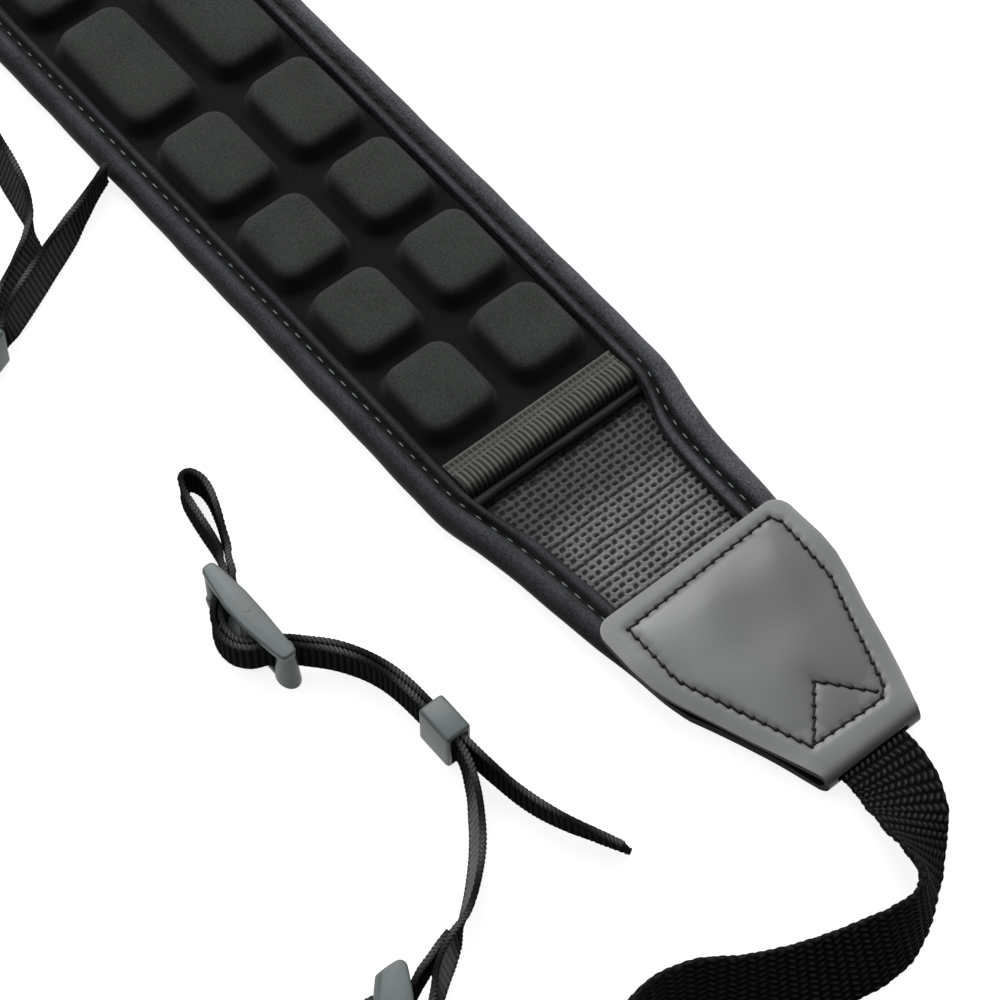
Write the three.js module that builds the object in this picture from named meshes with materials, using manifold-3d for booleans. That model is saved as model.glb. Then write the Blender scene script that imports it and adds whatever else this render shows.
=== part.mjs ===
// Padded binocular neck strap lying on a flat surface with its cells up.
// Millimetres, +Z up. The origin is under the middle of the pad, on the surface it lies on.
// +X runs along the pad to the near leather tab, +Y across it, and -Y is the side the straps lie on.
import * as THREE from 'three';
import { mergeVertices } from 'three/addons/utils/BufferGeometryUtils.js';
import Module from 'manifold-3d';

// Stack of layers from the surface up.
const CARRIER_THICK = 1.6;
const FOAM_BOTTOM = 1.9;
const FOAM_TOP = 3.7;
const CELL_TOP = 8.9;

// Cushion and its cells: two columns, one long cell in the middle of each.
const CUSHION_HALF_LENGTH = 119.5;
const CUSHION_HALF_WIDTH = 26.0;
const CELL_COLUMN = 10.95;
const CELL_WIDTH = 17.2;
const CELL_CORNER = 4.6;
const CELL_ROWS = [
  { middle: 0, length: 30.4 },
  { middle: 30.5, length: 21.9 },
  { middle: 55.2, length: 18.8 },
  { middle: 78.2, length: 18.8 },
  { middle: 100.9, length: 19.0 },
];
// Height rings of a cell: how far each ring is drawn in from the cell's foot.
const CELL_RINGS = [
  { z: 2.8, inset: 0.0 },
  { z: 3.9, inset: 0.05 },
  { z: 7.3, inset: 0.45 },
  { z: 8.3, inset: 1.0 },
  { z: 8.75, inset: 1.9 },
  { z: CELL_TOP, inset: 3.4 },
];

// Rolled binding, one row per section, the same on both long sides and both ends.
// outer, stitch and lip are distances from the pad's middle line; lipUnder and crown are heights.
const BINDING_ROWS = [
  { x: 119.0, outer: 28.5, stitch: 23.8, lip: 21.2, lipUnder: 4.0, crown: 5.9, lift: 0.0 },
  { x: 122.0, outer: 28.4, stitch: 23.6, lip: 21.1, lipUnder: 4.0, crown: 5.9, lift: 0.0 },
  { x: 125.0, outer: 28.1, stitch: 22.9, lip: 20.6, lipUnder: 3.5, crown: 5.7, lift: 0.0 },
  { x: 128.0, outer: 27.5, stitch: 22.0, lip: 19.6, lipUnder: 2.7, crown: 5.5, lift: 0.0 },
  { x: 132.0, outer: 26.5, stitch: 20.9, lip: 18.0, lipUnder: 2.0, crown: 5.3, lift: 0.0 },
  { x: 137.0, outer: 25.6, stitch: 20.0, lip: 16.8, lipUnder: 2.0, crown: 5.1, lift: 0.1 },
  { x: 147.0, outer: 24.6, stitch: 19.2, lip: 15.9, lipUnder: 2.0, crown: 4.9, lift: 0.9 },
  { x: 156.0, outer: 24.1, stitch: 18.8, lip: 15.5, lipUnder: 2.0, crown: 4.8, lift: 1.7 },
  { x: 165.0, outer: 22.9, stitch: 18.1, lip: 15.2, lipUnder: 2.0, crown: 4.7, lift: 1.7 },
  { x: 178.5, outer: 20.6, stitch: 16.8, lip: 14.6, lipUnder: 1.8, crown: 4.0, lift: 1.7 },
];
const BINDING_WALL = 1.15;
const BINDING_FOOT = 5.1;
const CARRIER_INSET = 5.5;
const CARRIER_END = 174.0;

// Ribbed tape over each end of the cushion, and the thin strip at its foot.
const TAPE_HALF_LENGTH = 20.7;
const TAPE_SECTION = [
  [114.3, 4.0], [114.3, 4.75], [117.0, 4.95], [118.4, 5.6], [120.4, 5.75], [121.8, 5.0],
  [122.3, 3.7], [122.2, 2.0], [120.0, 2.0], [119.95, 4.0],
];
const LIP_SECTION = [
  [122.7, 1.95], [124.3, 1.95], [124.35, 2.5], [123.7, 3.1], [122.75, 3.0],
];
const LIP_HALF_LENGTH = 20.4;

// Leather tab: a sheet folded at its nose. Rows run from the wide edge to the fold.
// half is half the width; middle and edge are the heights of the upper leaf's underside.
const LEATHER = 1.3;
const TAB_ROWS = [
  { x: 160.5, half: 18.9, middle: 7.0, edge: 6.95 },
  { x: 160.9, half: 20.6, middle: 7.0, edge: 6.95 },
  { x: 162.0, half: 22.1, middle: 7.0, edge: 6.9 },
  { x: 164.0, half: 22.9, middle: 7.05, edge: 6.85 },
  { x: 172.0, half: 23.1, middle: 7.0, edge: 6.65 },
  { x: 176.5, half: 22.7, middle: 6.8, edge: 6.0 },
  { x: 181.0, half: 21.5, middle: 6.5, edge: 5.2 },
  { x: 188.0, half: 19.0, middle: 6.1, edge: 4.6 },
  { x: 196.0, half: 16.4, middle: 5.6, edge: 4.5 },
  { x: 203.0, half: 13.9, middle: 5.25, edge: 4.8 },
  { x: 208.4, half: 11.9, middle: 5.1, edge: 5.1 },
];
// The under leaf's own underside: flat under the bindings, drawn up at its edges towards the nose.
const TAB_UNDER_ROWS = [
  { x: 208.4, half: 11.9, middle: 1.2, edge: 1.2 },
  { x: 201.0, half: 14.6, middle: 0.9, edge: 2.5 },
  { x: 191.0, half: 18.0, middle: 0.4, edge: 2.7 },
  { x: 183.5, half: 20.0, middle: 0.1, edge: 1.3 },
  { x: 178.0, half: 20.3, middle: 0.0, edge: 0.0 },
  { x: 164.0, half: 20.9, middle: 0.0, edge: 0.0 },
  { x: 161.6, half: 19.8, middle: 0.0, edge: 0.0 },
  { x: 160.5, half: 17.2, middle: 0.0, edge: 0.0 },
];
const TAB_COLUMNS = [-1, -0.9, -0.74, -0.4, 0, 0.4, 0.74, 0.9, 1];
const TAB_EDGE_FALL = [1, 0.62, 0.1, 0, 0, 0, 0.1, 0.62, 1];
const NOSE_STEPS = 5;
const MOUTH_HALF_WIDTH = 8.5;
const MOUTH_MIDDLE = 1.3;
// The tab bends a little to one side towards its nose.
const TAB_BEND = { from: 162.0, to: 204.0, by: 1.7 };

// Webbings.
const WIDE = { width: 16.0, thick: 1.8 };
const NARROW = { width: 8.0, thick: 1.1 };
const LAYER_PITCH = 1.48;

// Routes of the wide webbings. lean is the tilt of the webbing's width from upright in degrees,
// to the left of the way it runs; lift is the height of its lowest edge.
const WIDE_NEAR_ROWS = [
  { x: 180.0, y: 0.4, lean: -90, lift: 1.8 },
  { x: 195.0, y: 0.9, lean: -90, lift: 2.35 },
  { x: 206.0, y: 1.2, lean: -90, lift: 2.8 },
  { x: 212.4, y: 1.3, lean: -90, lift: 2.85 },
  { x: 217.5, y: 0.7, lean: -88, lift: 2.8 },
  { x: 222.5, y: -1.4, lean: -79, lift: 2.4 },
  { x: 227.4, y: -4.5, lean: -59, lift: 1.7 },
  { x: 233.0, y: -7.7, lean: -40, lift: 0.9 },
  { x: 238.2, y: -10.6, lean: -27, lift: 0.3 },
  { x: 241.1, y: -14.1, lean: -26, lift: 0.0 },
  { x: 241.4, y: -19.9, lean: -31, lift: 0.0 },
  { x: 240.0, y: -26.8, lean: -28, lift: 0.0 },
  { x: 237.6, y: -34.3, lean: -25, lift: 0.0 },
  { x: 234.5, y: -41.5, lean: -24, lift: 0.0 },
  { x: 231.0, y: -48.6, lean: -24, lift: 0.0 },
  { x: 227.0, y: -54.6, lean: -24, lift: 0.0 },
  { x: 224.5, y: -61.0, lean: -18, lift: 0.0 },
  { x: 223.7, y: -67.5, lean: -6, lift: 0.0 },
  { x: 225.0, y: -76.0, lean: 0, lift: 0.0 },
  { x: 229.5, y: -91.0, lean: 0, lift: 0.0 },
  { x: 235.5, y: -110.0, lean: 0, lift: 0.0 },
  { x: 241.0, y: -132.0, lean: 0, lift: 0.0 },
  { x: 243.0, y: -150.0, lean: 0, lift: 0.0 },
  { x: 240.0, y: -163.0, lean: 0, lift: 0.2 },
  { x: 231.5, y: -169.0, lean: 0, lift: 0.4 },
  { x: 223.0, y: -164.0, lean: 0, lift: 0.7 },
  { x: 219.5, y: -152.0, lean: 0, lift: 1.1 },
  { x: 219.0, y: -138.0, lean: 0, lift: 1.6 },
];
const WIDE_FAR_ROWS = [
  { x: -180.0, y: -0.4, lean: 90, lift: 1.8 },
  { x: -195.0, y: -0.9, lean: 90, lift: 2.35 },
  { x: -206.0, y: -1.2, lean: 90, lift: 2.8 },
  { x: -213.0, y: -1.3, lean: 90, lift: 2.85 },
  { x: -221.0, y: -2.0, lean: 84, lift: 2.4 },
  { x: -229.0, y: -4.6, lean: 70, lift: 1.6 },
  { x: -236.5, y: -9.6, lean: 50, lift: 0.7 },
  { x: -241.5, y: -16.5, lean: 28, lift: 0.0 },
  { x: -243.5, y: -26.0, lean: 14, lift: 0.0 },
  { x: -241.5, y: -36.0, lean: 8, lift: 0.0 },
  { x: -235.0, y: -46.0, lean: 4, lift: 0.0 },
  { x: -224.0, y: -53.5, lean: 0, lift: 0.0 },
  { x: -208.0, y: -57.0, lean: 0, lift: 0.0 },
  { x: -180.0, y: -58.6, lean: 0, lift: 0.0 },
  { x: -145.0, y: -60.0, lean: 0, lift: 0.2 },
  { x: -110.0, y: -61.5, lean: 0, lift: 0.6 },
  { x: -85.0, y: -61.8, lean: 0, lift: 1.2 },
];

const POST_SIDES = 12;

// The joiner's own plan frame: u from its narrow end to its wide end, v to one side.
const JOINER = {
  rail: 3.2, foot: 1.8, narrowRoof: 10.5, wideRoof: 18.7, roof: 1.8, length: 27.0, corner: 1.7,
  riserFrom: 12.6, riserTo: 16.0,
};
// Plan of the roof at the narrow end: skewed at its tip and widening.
const JOINER_NARROW_ROOF = [
  [2.7, -2.6], [1.3, -0.5], [0.5, 1.1], [0.5, 2.1], [1.2, 2.9], [3.3, 3.4], [8.1, 4.2],
  [14.0, 4.2], [16.0, 3.2], [16.0, -3.2], [8.1, -3.1], [4.2, -2.9],
];
const JOINER_POSTS = [
  { u: 2.4, radius: 1.5, wide: false },
  { u: 9.9, radius: 1.5, wide: false },
  { u: 17.0, radius: 1.5, wide: true },
  { u: 24.9, radius: 1.6, wide: true },
];
// Sewn loop of the narrow strap round the second post, and of the wide webbing round the last one.
const NARROW_LOOP = [
  { u: -6.2, v: 9.7, lean: 6 }, { u: -4.2, v: 8.3, lean: 6 }, { u: -1.6, v: 6.9, lean: 3 },
  { u: 1.4, v: 5.1 }, { u: 4.7, v: 3.3 }, { u: 6.2, v: 0.6 }, { u: 6.6, v: -2.4 },
  { u: 8.0, v: -4.6 }, { u: 10.2, v: -5.1 }, { u: 12.4, v: -4.2 }, { u: 13.4, v: -1.6 },
  { u: 13.4, v: 1.6 }, { u: 12.2, v: 4.6 }, { u: 9.4, v: 6.9 }, { u: 5.0, v: 8.0 },
  { u: 1.2, v: 8.7 }, { u: -2.2, v: 9.7, lean: -3 }, { u: -5.5, v: 11.0, lean: -6 },
];
const WIDE_LOOP = [
  { u: 46.0, v: -1.25 }, { u: 40.0, v: -1.35 }, { u: 34.0, v: -1.9 }, { u: 28.6, v: -3.3 },
  { u: 24.6, v: -3.6 }, { u: 21.6, v: -2.4 }, { u: 20.7, v: 0.0 }, { u: 21.6, v: 2.4 },
  { u: 24.6, v: 3.6 }, { u: 28.6, v: 3.0 }, { u: 33.0, v: 1.4 }, { u: 37.0, v: 0.85 },
  { u: 42.0, v: 0.8 },
];
const NARROW_LOOP_LIFT = 2.15;
const WIDE_LOOP_LIFT = 2.15;

// The slide's own plan frame: u along it away from the keeper, v to its back.
// The doubled strap passes behind the end posts and in front of the middle post.
const SLIDE = { foot: 1.6, roof: 1.7, roofAt: 10.3 };
const SLIDE_RAIL = [
  [-12.2, -1.5], [-9.6, -1.9], [-3.0, -2.75], [3.0, -2.75], [9.6, -1.8], [12.0, -1.3],
  [12.0, 1.3], [9.6, 1.8], [3.0, 2.35], [-3.0, 2.35], [-9.6, 1.9], [-12.2, 1.5],
];
const SLIDE_POSTS = [
  { u: -10.0, along: 2.2, across: 1.4 },
  { u: 0.0, along: 1.5, across: 1.5 },
  { u: 10.8, along: 1.2, across: 1.3 },
];
const SLIDE_LIFT = 1.9;
const DOUBLED_ROWS = [
  { u: -45.2, v: 14.5, lift: 1.25 }, { u: -40.0, v: 14.4, lift: 1.25 },
  { u: -34.8, v: 14.25, lift: 1.25 }, { u: -29.0, v: 14.0, lift: 0.9 },
  { u: -23.5, v: 13.2, lift: 0.4 }, { u: -18.6, v: 11.3, lift: 0.4 },
  { u: -14.6, v: 8.4, lift: 1.0 }, { u: -11.6, v: 5.3, lift: SLIDE_LIFT },
  { u: -8.6, v: 2.9, lift: SLIDE_LIFT }, { u: -5.8, v: 0.2, lift: SLIDE_LIFT },
  { u: -3.8, v: -2.9, lift: SLIDE_LIFT }, { u: -1.4, v: -4.9, lift: 1.2 },
  { u: 1.6, v: -5.4, lift: 0.9 }, { u: 4.6, v: -4.4, lift: 1.2 },
  { u: 6.8, v: -1.9, lift: SLIDE_LIFT }, { u: 8.0, v: 0.9, lift: SLIDE_LIFT },
  { u: 9.6, v: 3.2, lift: SLIDE_LIFT }, { u: 12.2, v: 4.2, lift: 1.6 },
];
const END_LOOP_ROWS = [
  { u: 15.0, v: 5.1, lift: 0.9 }, { u: 18.0, v: 5.9, lift: 0.3 }, { u: 22.4, v: 6.6, lift: 0.0 },
  { u: 26.6, v: 7.2, lift: 0.0 }, { u: 30.4, v: 8.0, lift: 0.0 }, { u: 32.8, v: 9.4, lift: 0.0 },
  { u: 32.7, v: 11.0, lift: 0.0 }, { u: 30.8, v: 12.0, lift: 0.0 }, { u: 28.0, v: 12.0, lift: 0.0 },
  { u: 23.4, v: 10.6, lift: 0.0 }, { u: 18.4, v: 8.4, lift: 0.3 }, { u: 14.4, v: 6.6, lift: 0.9 },
];
const KEEPER = { u: -40.0, v: 14.4, along: 8.6, across: 5.6, tall: 10.5, wall: 0.9, corner: 0.8 };

// Where each end's pieces lie, and the single strands of its narrow strap.
const ENDS = {
  near: {
    joiner: { x: 189.3, y: -93.0, uAxis: [0.769, -0.639], vAxis: [0.639, 0.769] },
    slide: { x: 118.4, y: -70.4, uAxis: [-1, 0], vAxis: [0, 1] },
    wideRows: WIDE_NEAR_ROWS,
    strand: [
      { x: 189.0, y: -76.2, lean: -8, lift: 0.9 }, { x: 185.1, y: -71.2, lean: -12, lift: 0.3 },
      { x: 180.3, y: -66.3, lean: -12, lift: 0.0 }, { x: 174.6, y: -61.9, lean: -12, lift: 0.1 },
      { x: 169.4, y: -58.7, lean: -8, lift: 0.5 },
    ],
    tail: [
      { x: 169.4, y: -54.5, lean: 0, lift: 0.5 }, { x: 176.0, y: -53.5, lean: -3, lift: 0.0 },
      { x: 181.0, y: -52.3, lean: -5, lift: 0.0 }, { x: 186.0, y: -50.5, lean: -8, lift: 0.0 },
      { x: 191.0, y: -48.1, lean: -13, lift: 0.0 }, { x: 196.8, y: -45.3, lean: -18, lift: 0.0 },
    ],
  },
  far: {
    joiner: { x: -22.7, y: -35.9, uAxis: [-0.84, -0.543], vAxis: [0.543, -0.84] },
    slide: { x: 38.9, y: -116.0, uAxis: [0.35, -0.937], vAxis: [0.937, 0.35] },
    wideRows: WIDE_FAR_ROWS,
    strand: [
      { x: -7.6, y: -41.3, lean: 8, lift: 0.9 }, { x: -2.0, y: -42.6, lean: 20, lift: 0.3 },
      { x: 5.0, y: -44.2, lean: 26, lift: 0.0 }, { x: 11.5, y: -45.7, lean: 22, lift: 0.0 },
      { x: 17.5, y: -47.7, lean: 6, lift: 0.0 }, { x: 22.0, y: -50.4, lean: -17, lift: 0.0 },
      { x: 25.9, y: -55.0, lean: -32, lift: 0.0 }, { x: 29.6, y: -61.0, lean: -30, lift: 0.2 },
      { x: 33.0, y: -65.6, lean: -16, lift: 0.8 },
    ],
    tail: [
      { x: 35.2, y: -64.9, lean: 16, lift: 0.6 }, { x: 32.9, y: -61.0, lean: 20, lift: 0.2 },
      { x: 29.9, y: -55.0, lean: 20, lift: 0.0 }, { x: 27.2, y: -49.3, lean: 19, lift: 0.0 },
      { x: 24.9, y: -44.2, lean: 13, lift: 0.0 }, { x: 21.9, y: -38.2, lean: 1, lift: 0.0 },
      { x: 18.8, y: -32.1, lean: -7, lift: 0.0 }, { x: 17.4, y: -29.3, lean: -8, lift: 0.0 },
    ],
  },
};

// Materials as they look in the photo.
const MATERIALS = {
  foam: { color: 0x3d3f3d, roughness: 0.95, metalness: 0.0 },
  weave: { color: 0x525453, roughness: 0.9, metalness: 0.0 },
  binding: { color: 0x2d3333, roughness: 0.92, metalness: 0.0 },
  tape: { color: 0x3c3b39, roughness: 0.9, metalness: 0.0 },
  lip: { color: 0x2a2423, roughness: 0.85, metalness: 0.0 },
  leather: { color: 0x727574, roughness: 0.45, metalness: 0.0 },
  webbing: { color: 0x1c1c1a, roughness: 0.9, metalness: 0.0 },
  plastic: { color: 0x6f7877, roughness: 0.5, metalness: 0.0 },
};

const wasm = await Module();
wasm.setup();

const strap = new THREE.Group();
const RAD = Math.PI / 180;

// Signed volume of an indexed triangle mesh, positive when its faces point out.
function signedVolume(points, triangles) {
  let total = 0;
  for (const [a, b, c] of triangles) {
    total += points[a].dot(new THREE.Vector3().crossVectors(points[b], points[c])) / 6;
  }
  return total;
}

// A geometry from points and triangles, turned so that its faces point out.
function closedGeometry(points, triangles) {
  const flip = signedVolume(points, triangles) < 0;
  const geometry = new THREE.BufferGeometry().setFromPoints(points);
  geometry.setIndex(triangles.flatMap(([a, b, c]) => (flip ? [a, c, b] : [a, b, c])));
  geometry.computeVertexNormals();
  return geometry;
}

// A solid skinned over rings of points, all of one length, with both ends capped.
function loft(rings, capShape) {
  const count = rings[0].length;
  const points = rings.flat();
  const triangles = [];
  for (let i = 0; i + 1 < rings.length; i += 1) {
    for (let j = 0; j < count; j += 1) {
      const k = (j + 1) % count;
      const a = i * count + j;
      const b = i * count + k;
      triangles.push([a, b, b + count], [a, b + count, a + count]);
    }
  }
  const ringSense = Math.sign(THREE.ShapeUtils.area(capShape));
  const last = (rings.length - 1) * count;
  for (const [a, b, c] of THREE.ShapeUtils.triangulateShape(capShape, [])) {
    const sense = Math.sign(THREE.ShapeUtils.area([capShape[a], capShape[b], capShape[c]]));
    const [q, r] = sense === ringSense ? [b, c] : [c, b];
    triangles.push([a, r, q], [last + a, last + q, last + r]);
  }
  return closedGeometry(points, triangles);
}

// Joins and cuts of closed geometries.
function toSolid(geometry) {
  const bare = geometry.clone();
  bare.deleteAttribute('normal');
  bare.deleteAttribute('uv');
  const merged = mergeVertices(bare, 1e-4);
  return new wasm.Manifold(new wasm.Mesh({
    numProp: 3,
    vertProperties: Float32Array.from(merged.attributes.position.array),
    triVerts: Uint32Array.from(merged.index.array),
  }));
}

function fromSolid(solid) {
  const mesh = solid.getMesh();
  const positions = new Float32Array(mesh.numVert * 3);
  for (let i = 0; i < mesh.numVert; i += 1) {
    for (let k = 0; k < 3; k += 1) positions[3 * i + k] = mesh.vertProperties[i * mesh.numProp + k];
  }
  const geometry = new THREE.BufferGeometry();
  geometry.setAttribute('position', new THREE.BufferAttribute(positions, 3));
  geometry.setIndex(Array.from(mesh.triVerts));
  geometry.computeVertexNormals();
  return geometry;
}

function join(geometries) {
  let solid = toSolid(geometries[0]);
  for (const geometry of geometries.slice(1)) solid = solid.add(toSolid(geometry));
  return fromSolid(solid);
}

function cut(geometry, tool) {
  return fromSolid(toSolid(geometry).subtract(toSolid(tool)));
}

function addPiece(name, geometry, look, place) {
  const mesh = new THREE.Mesh(geometry, new THREE.MeshStandardMaterial(MATERIALS[look]));
  mesh.name = name;
  if (place) mesh.applyMatrix4(place);
  strap.add(mesh);
}

// A prism of a plan outline between two heights.
function slab(outline, bottom, top) {
  const shape = new THREE.Shape(outline.map(([u, v]) => new THREE.Vector2(u, v)));
  const geometry = new THREE.ExtrudeGeometry(shape, { depth: top - bottom, bevelEnabled: false });
  geometry.translate(0, 0, bottom);
  return geometry;
}

// A prism of an (x, z) outline across the pad, from -half to +half in y.
function acrossPrism(section, half) {
  const shape = new THREE.Shape(section.map(([x, z]) => new THREE.Vector2(x, z)));
  const geometry = new THREE.ExtrudeGeometry(shape, { depth: 2 * half, bevelEnabled: false });
  geometry.translate(0, 0, -half);
  geometry.rotateX(Math.PI / 2);
  return geometry;
}

// An upright post with an oval section.
function post(u, v, along, across, bottom, top) {
  const geometry = new THREE.CylinderGeometry(1, 1, top - bottom, POST_SIDES);
  geometry.rotateX(Math.PI / 2);
  geometry.scale(along, across, 1);
  geometry.translate(u, v, (top + bottom) / 2);
  return geometry;
}

// Plan points of a rounded rectangle.
function roundedRectangle(length, width, corner, steps) {
  const points = [];
  const corners = [[1, 1, 0], [-1, 1, 90], [-1, -1, 180], [1, -1, 270]];
  for (const [sx, sy, start] of corners) {
    for (let i = 0; i <= steps; i += 1) {
      const angle = (start + (90 * i) / steps) * RAD;
      points.push([
        sx * (length / 2 - corner) + corner * Math.cos(angle),
        sy * (width / 2 - corner) + corner * Math.sin(angle),
      ]);
    }
  }
  return points;
}

// Cushion: a foam sheet with raised cells in two columns.
function cushion() {
  const parts = [slab(
    roundedRectangle(2 * CUSHION_HALF_LENGTH, 2 * CUSHION_HALF_WIDTH, 1.0, 2),
    FOAM_BOTTOM,
    FOAM_TOP,
  )];
  for (const row of CELL_ROWS) {
    for (const end of row.middle === 0 ? [1] : [1, -1]) {
      for (const side of [1, -1]) {
        const rings = CELL_RINGS.map(({ z, inset }) => roundedRectangle(
          row.length - 2 * inset,
          CELL_WIDTH - 2 * inset,
          Math.max(CELL_CORNER - 0.6 * inset, 1.2),
          3,
        ).map(([x, y]) => new THREE.Vector3(end * row.middle + x, side * CELL_COLUMN + y, z)));
        parts.push(loft(rings, rings[0].map((p) => new THREE.Vector2(p.x, p.y))));
      }
    }
  }
  return join(parts);
}

// Rows of the pad's length from the far end to the near end, with x mirrored for the far half.
function fullLength(rows) {
  return [...rows].reverse().map((row) => ({ ...row, x: -row.x })).concat(rows);
}

function bindingSection({ outer, stitch, lip, lipUnder, crown }) {
  const wall = BINDING_WALL;
  return [
    [lip, lipUnder + wall - 0.25], [lip + 0.5, lipUnder + wall], [stitch, lipUnder + wall - 0.1],
    [stitch + 1.3, crown - 0.45], [outer - 2.3, crown], [outer - 0.8, crown - 0.9],
    [outer, 0.52 * crown], [outer - 0.45, 0.9], [outer - 1.6, 0.0], [outer - BINDING_FOOT, 0.0],
    [outer - BINDING_FOOT, wall], [outer - 2.0, wall + 0.1], [outer - wall - 0.1, 0.45 * crown],
    [outer - wall - 0.55, crown - 1.75], [outer - 2.6, crown - wall - 0.1],
    [stitch + 1.7, crown - wall - 0.4], [stitch + 0.8, lipUnder + 0.05], [lip, lipUnder],
  ];
}

function binding(side) {
  const rows = fullLength(BINDING_ROWS);
  const rings = rows.map((row) => bindingSection(row).map(
    ([y, z]) => new THREE.Vector3(row.x, side * y, z + row.lift),
  ));
  return loft(rings, bindingSection(rows[0]).map(([y, z]) => new THREE.Vector2(y, z)));
}

// Carrier webbing: the base from tab to tab, between the bindings' feet.
function carrierWebbing() {
  const rows = BINDING_ROWS.slice(0, -1).concat([{ ...BINDING_ROWS.at(-1), x: CARRIER_END }]);
  const rings = fullLength(rows).map((row) => {
    const half = row.outer - CARRIER_INSET;
    return [[-half, 0], [half, 0], [half, CARRIER_THICK], [-half, CARRIER_THICK]]
      .map(([y, z]) => new THREE.Vector3(row.x, y, z + row.lift));
  });
  return loft(rings, rings[0].map((p) => new THREE.Vector2(p.y, p.z)));
}

// Leather tab: upper leaf, rounded nose and under leaf of one folded sheet, then its mouth.
function leatherTab() {
  const outside = [];
  const inside = [];
  const addRow = (half, place) => {
    TAB_COLUMNS.forEach((share, i) => {
      const [ox, oz, ix, iz] = place(i);
      const bend = TAB_BEND.by * THREE.MathUtils.smoothstep(ox, TAB_BEND.from, TAB_BEND.to);
      outside.push(new THREE.Vector3(ox, share * half + bend, oz));
      inside.push(new THREE.Vector3(ix, share * half + bend, iz));
    });
  };
  for (const row of TAB_ROWS) {
    addRow(row.half, (i) => {
      const z = THREE.MathUtils.lerp(row.middle, row.edge, TAB_EDGE_FALL[i]);
      return [row.x, z + LEATHER, row.x, z];
    });
  }
  const top = TAB_ROWS.at(-1);
  const under = TAB_UNDER_ROWS[0];
  const inner = (top.middle - under.middle - LEATHER) / 2;
  const middle = under.middle + LEATHER + inner;
  for (let step = 1; step < NOSE_STEPS; step += 1) {
    const angle = (90 - (180 * step) / NOSE_STEPS) * RAD;
    const reach = [Math.cos(angle), Math.sin(angle)];
    addRow(top.half - 0.7 * reach[0], () => [
      top.x + (inner + LEATHER) * reach[0], middle + (inner + LEATHER) * reach[1],
      top.x + inner * reach[0], middle + inner * reach[1],
    ]);
  }
  for (const row of TAB_UNDER_ROWS) {
    addRow(row.half, (i) => {
      const z = THREE.MathUtils.lerp(row.middle, row.edge, TAB_EDGE_FALL[i]);
      return [row.x, z, row.x, z + LEATHER];
    });
  }
  const columns = TAB_COLUMNS.length;
  const rows = outside.length / columns;
  const points = outside.concat(inside);
  const shift = outside.length;
  const triangles = [];
  for (let i = 0; i + 1 < rows; i += 1) {
    for (let j = 0; j + 1 < columns; j += 1) {
      const a = i * columns + j;
      const c = a + columns;
      triangles.push([a, c, c + 1], [a, c + 1, a + 1]);
      triangles.push([a + shift, c + 1 + shift, c + shift], [a + shift, a + 1 + shift, c + 1 + shift]);
    }
  }
  const rim = [];
  for (let j = 0; j < columns; j += 1) rim.push(j);
  for (let i = 1; i < rows; i += 1) rim.push(i * columns + columns - 1);
  for (let j = columns - 2; j >= 0; j -= 1) rim.push((rows - 1) * columns + j);
  for (let i = rows - 2; i > 0; i -= 1) rim.push(i * columns);
  rim.forEach((a, i) => {
    const b = rim[(i + 1) % rim.length];
    triangles.push([a, b, b + shift], [a, b + shift, a + shift]);
  });
  const sheet = closedGeometry(points, triangles);
  const mouth = new THREE.BoxGeometry(10, 2 * MOUTH_HALF_WIDTH, 2 * inner - 0.06);
  mouth.translate(top.x + 5.4, MOUTH_MIDDLE, middle);
  return cut(sheet, mouth);
}

// A smooth route through rows of x, y, lean and lift, sampled a few times between rows.
function route(rows, perRow) {
  const path = new THREE.CatmullRomCurve3(rows.map((r) => new THREE.Vector3(r.x, r.y, 0)));
  const poses = rows.map((r) => new THREE.Vector3(r.lean ?? 0, r.lift ?? 0, 0));
  const pose = new THREE.CatmullRomCurve3(poses, false, 'catmullrom', 0.3);
  const stations = [];
  const last = (rows.length - 1) * perRow;
  for (let i = 0; i <= last; i += 1) {
    const at = path.getPoint(i / last);
    const along = path.getTangent(i / last);
    const { x: lean, y: lift } = pose.getPoint(i / last);
    stations.push({ x: at.x, y: at.y, along, lean, lift: Math.max(lift, 0) });
  }
  return stations;
}

// A flat webbing swept along a route, its lowest edge at the route's lift.
function ribbon(rows, { width, thick }, perRow) {
  const rings = route(rows, perRow).map(({ x, y, along, lean, lift }) => {
    const side = new THREE.Vector3(-along.y, along.x, 0).normalize();
    const up = new THREE.Vector3(0, 0, 1);
    const cos = Math.cos(lean * RAD);
    const sin = Math.sin(lean * RAD);
    const across = up.clone().multiplyScalar(cos).addScaledVector(side, sin);
    const through = side.clone().multiplyScalar(cos).addScaledVector(up, -sin);
    const half = (width / 2) * Math.abs(cos) + (thick / 2) * Math.abs(sin);
    const middle = new THREE.Vector3(x, y, lift + half);
    return [[-1, -1], [1, -1], [1, 1], [-1, 1]].map(([w, t]) => middle.clone()
      .addScaledVector(across, (w * width) / 2)
      .addScaledVector(through, (t * thick) / 2));
  });
  return loft(rings, [[0, 0], [1, 0], [1, 1], [0, 1]].map(([a, b]) => new THREE.Vector2(a, b)));
}

// Rows of a piece's own plan frame placed on the pad's plan.
function placed(rows, frame, lift) {
  return rows.map((row) => ({
    ...row,
    x: frame.x + row.u * frame.uAxis[0] + row.v * frame.vAxis[0],
    y: frame.y + row.u * frame.uAxis[1] + row.v * frame.vAxis[1],
    lift: row.lift ?? lift,
  }));
}

// Rows moved sideways in a plan frame, for one layer of the doubled strap.
function besideRows(rows, offset) {
  const path = new THREE.CatmullRomCurve3(rows.map((r) => new THREE.Vector3(r.u, r.v, r.lift)));
  return rows.map((row, i) => {
    const along = path.getTangent(i / (rows.length - 1)).setZ(0).normalize();
    return { ...row, u: row.u - along.y * offset, v: row.v + along.x * offset };
  });
}

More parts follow.
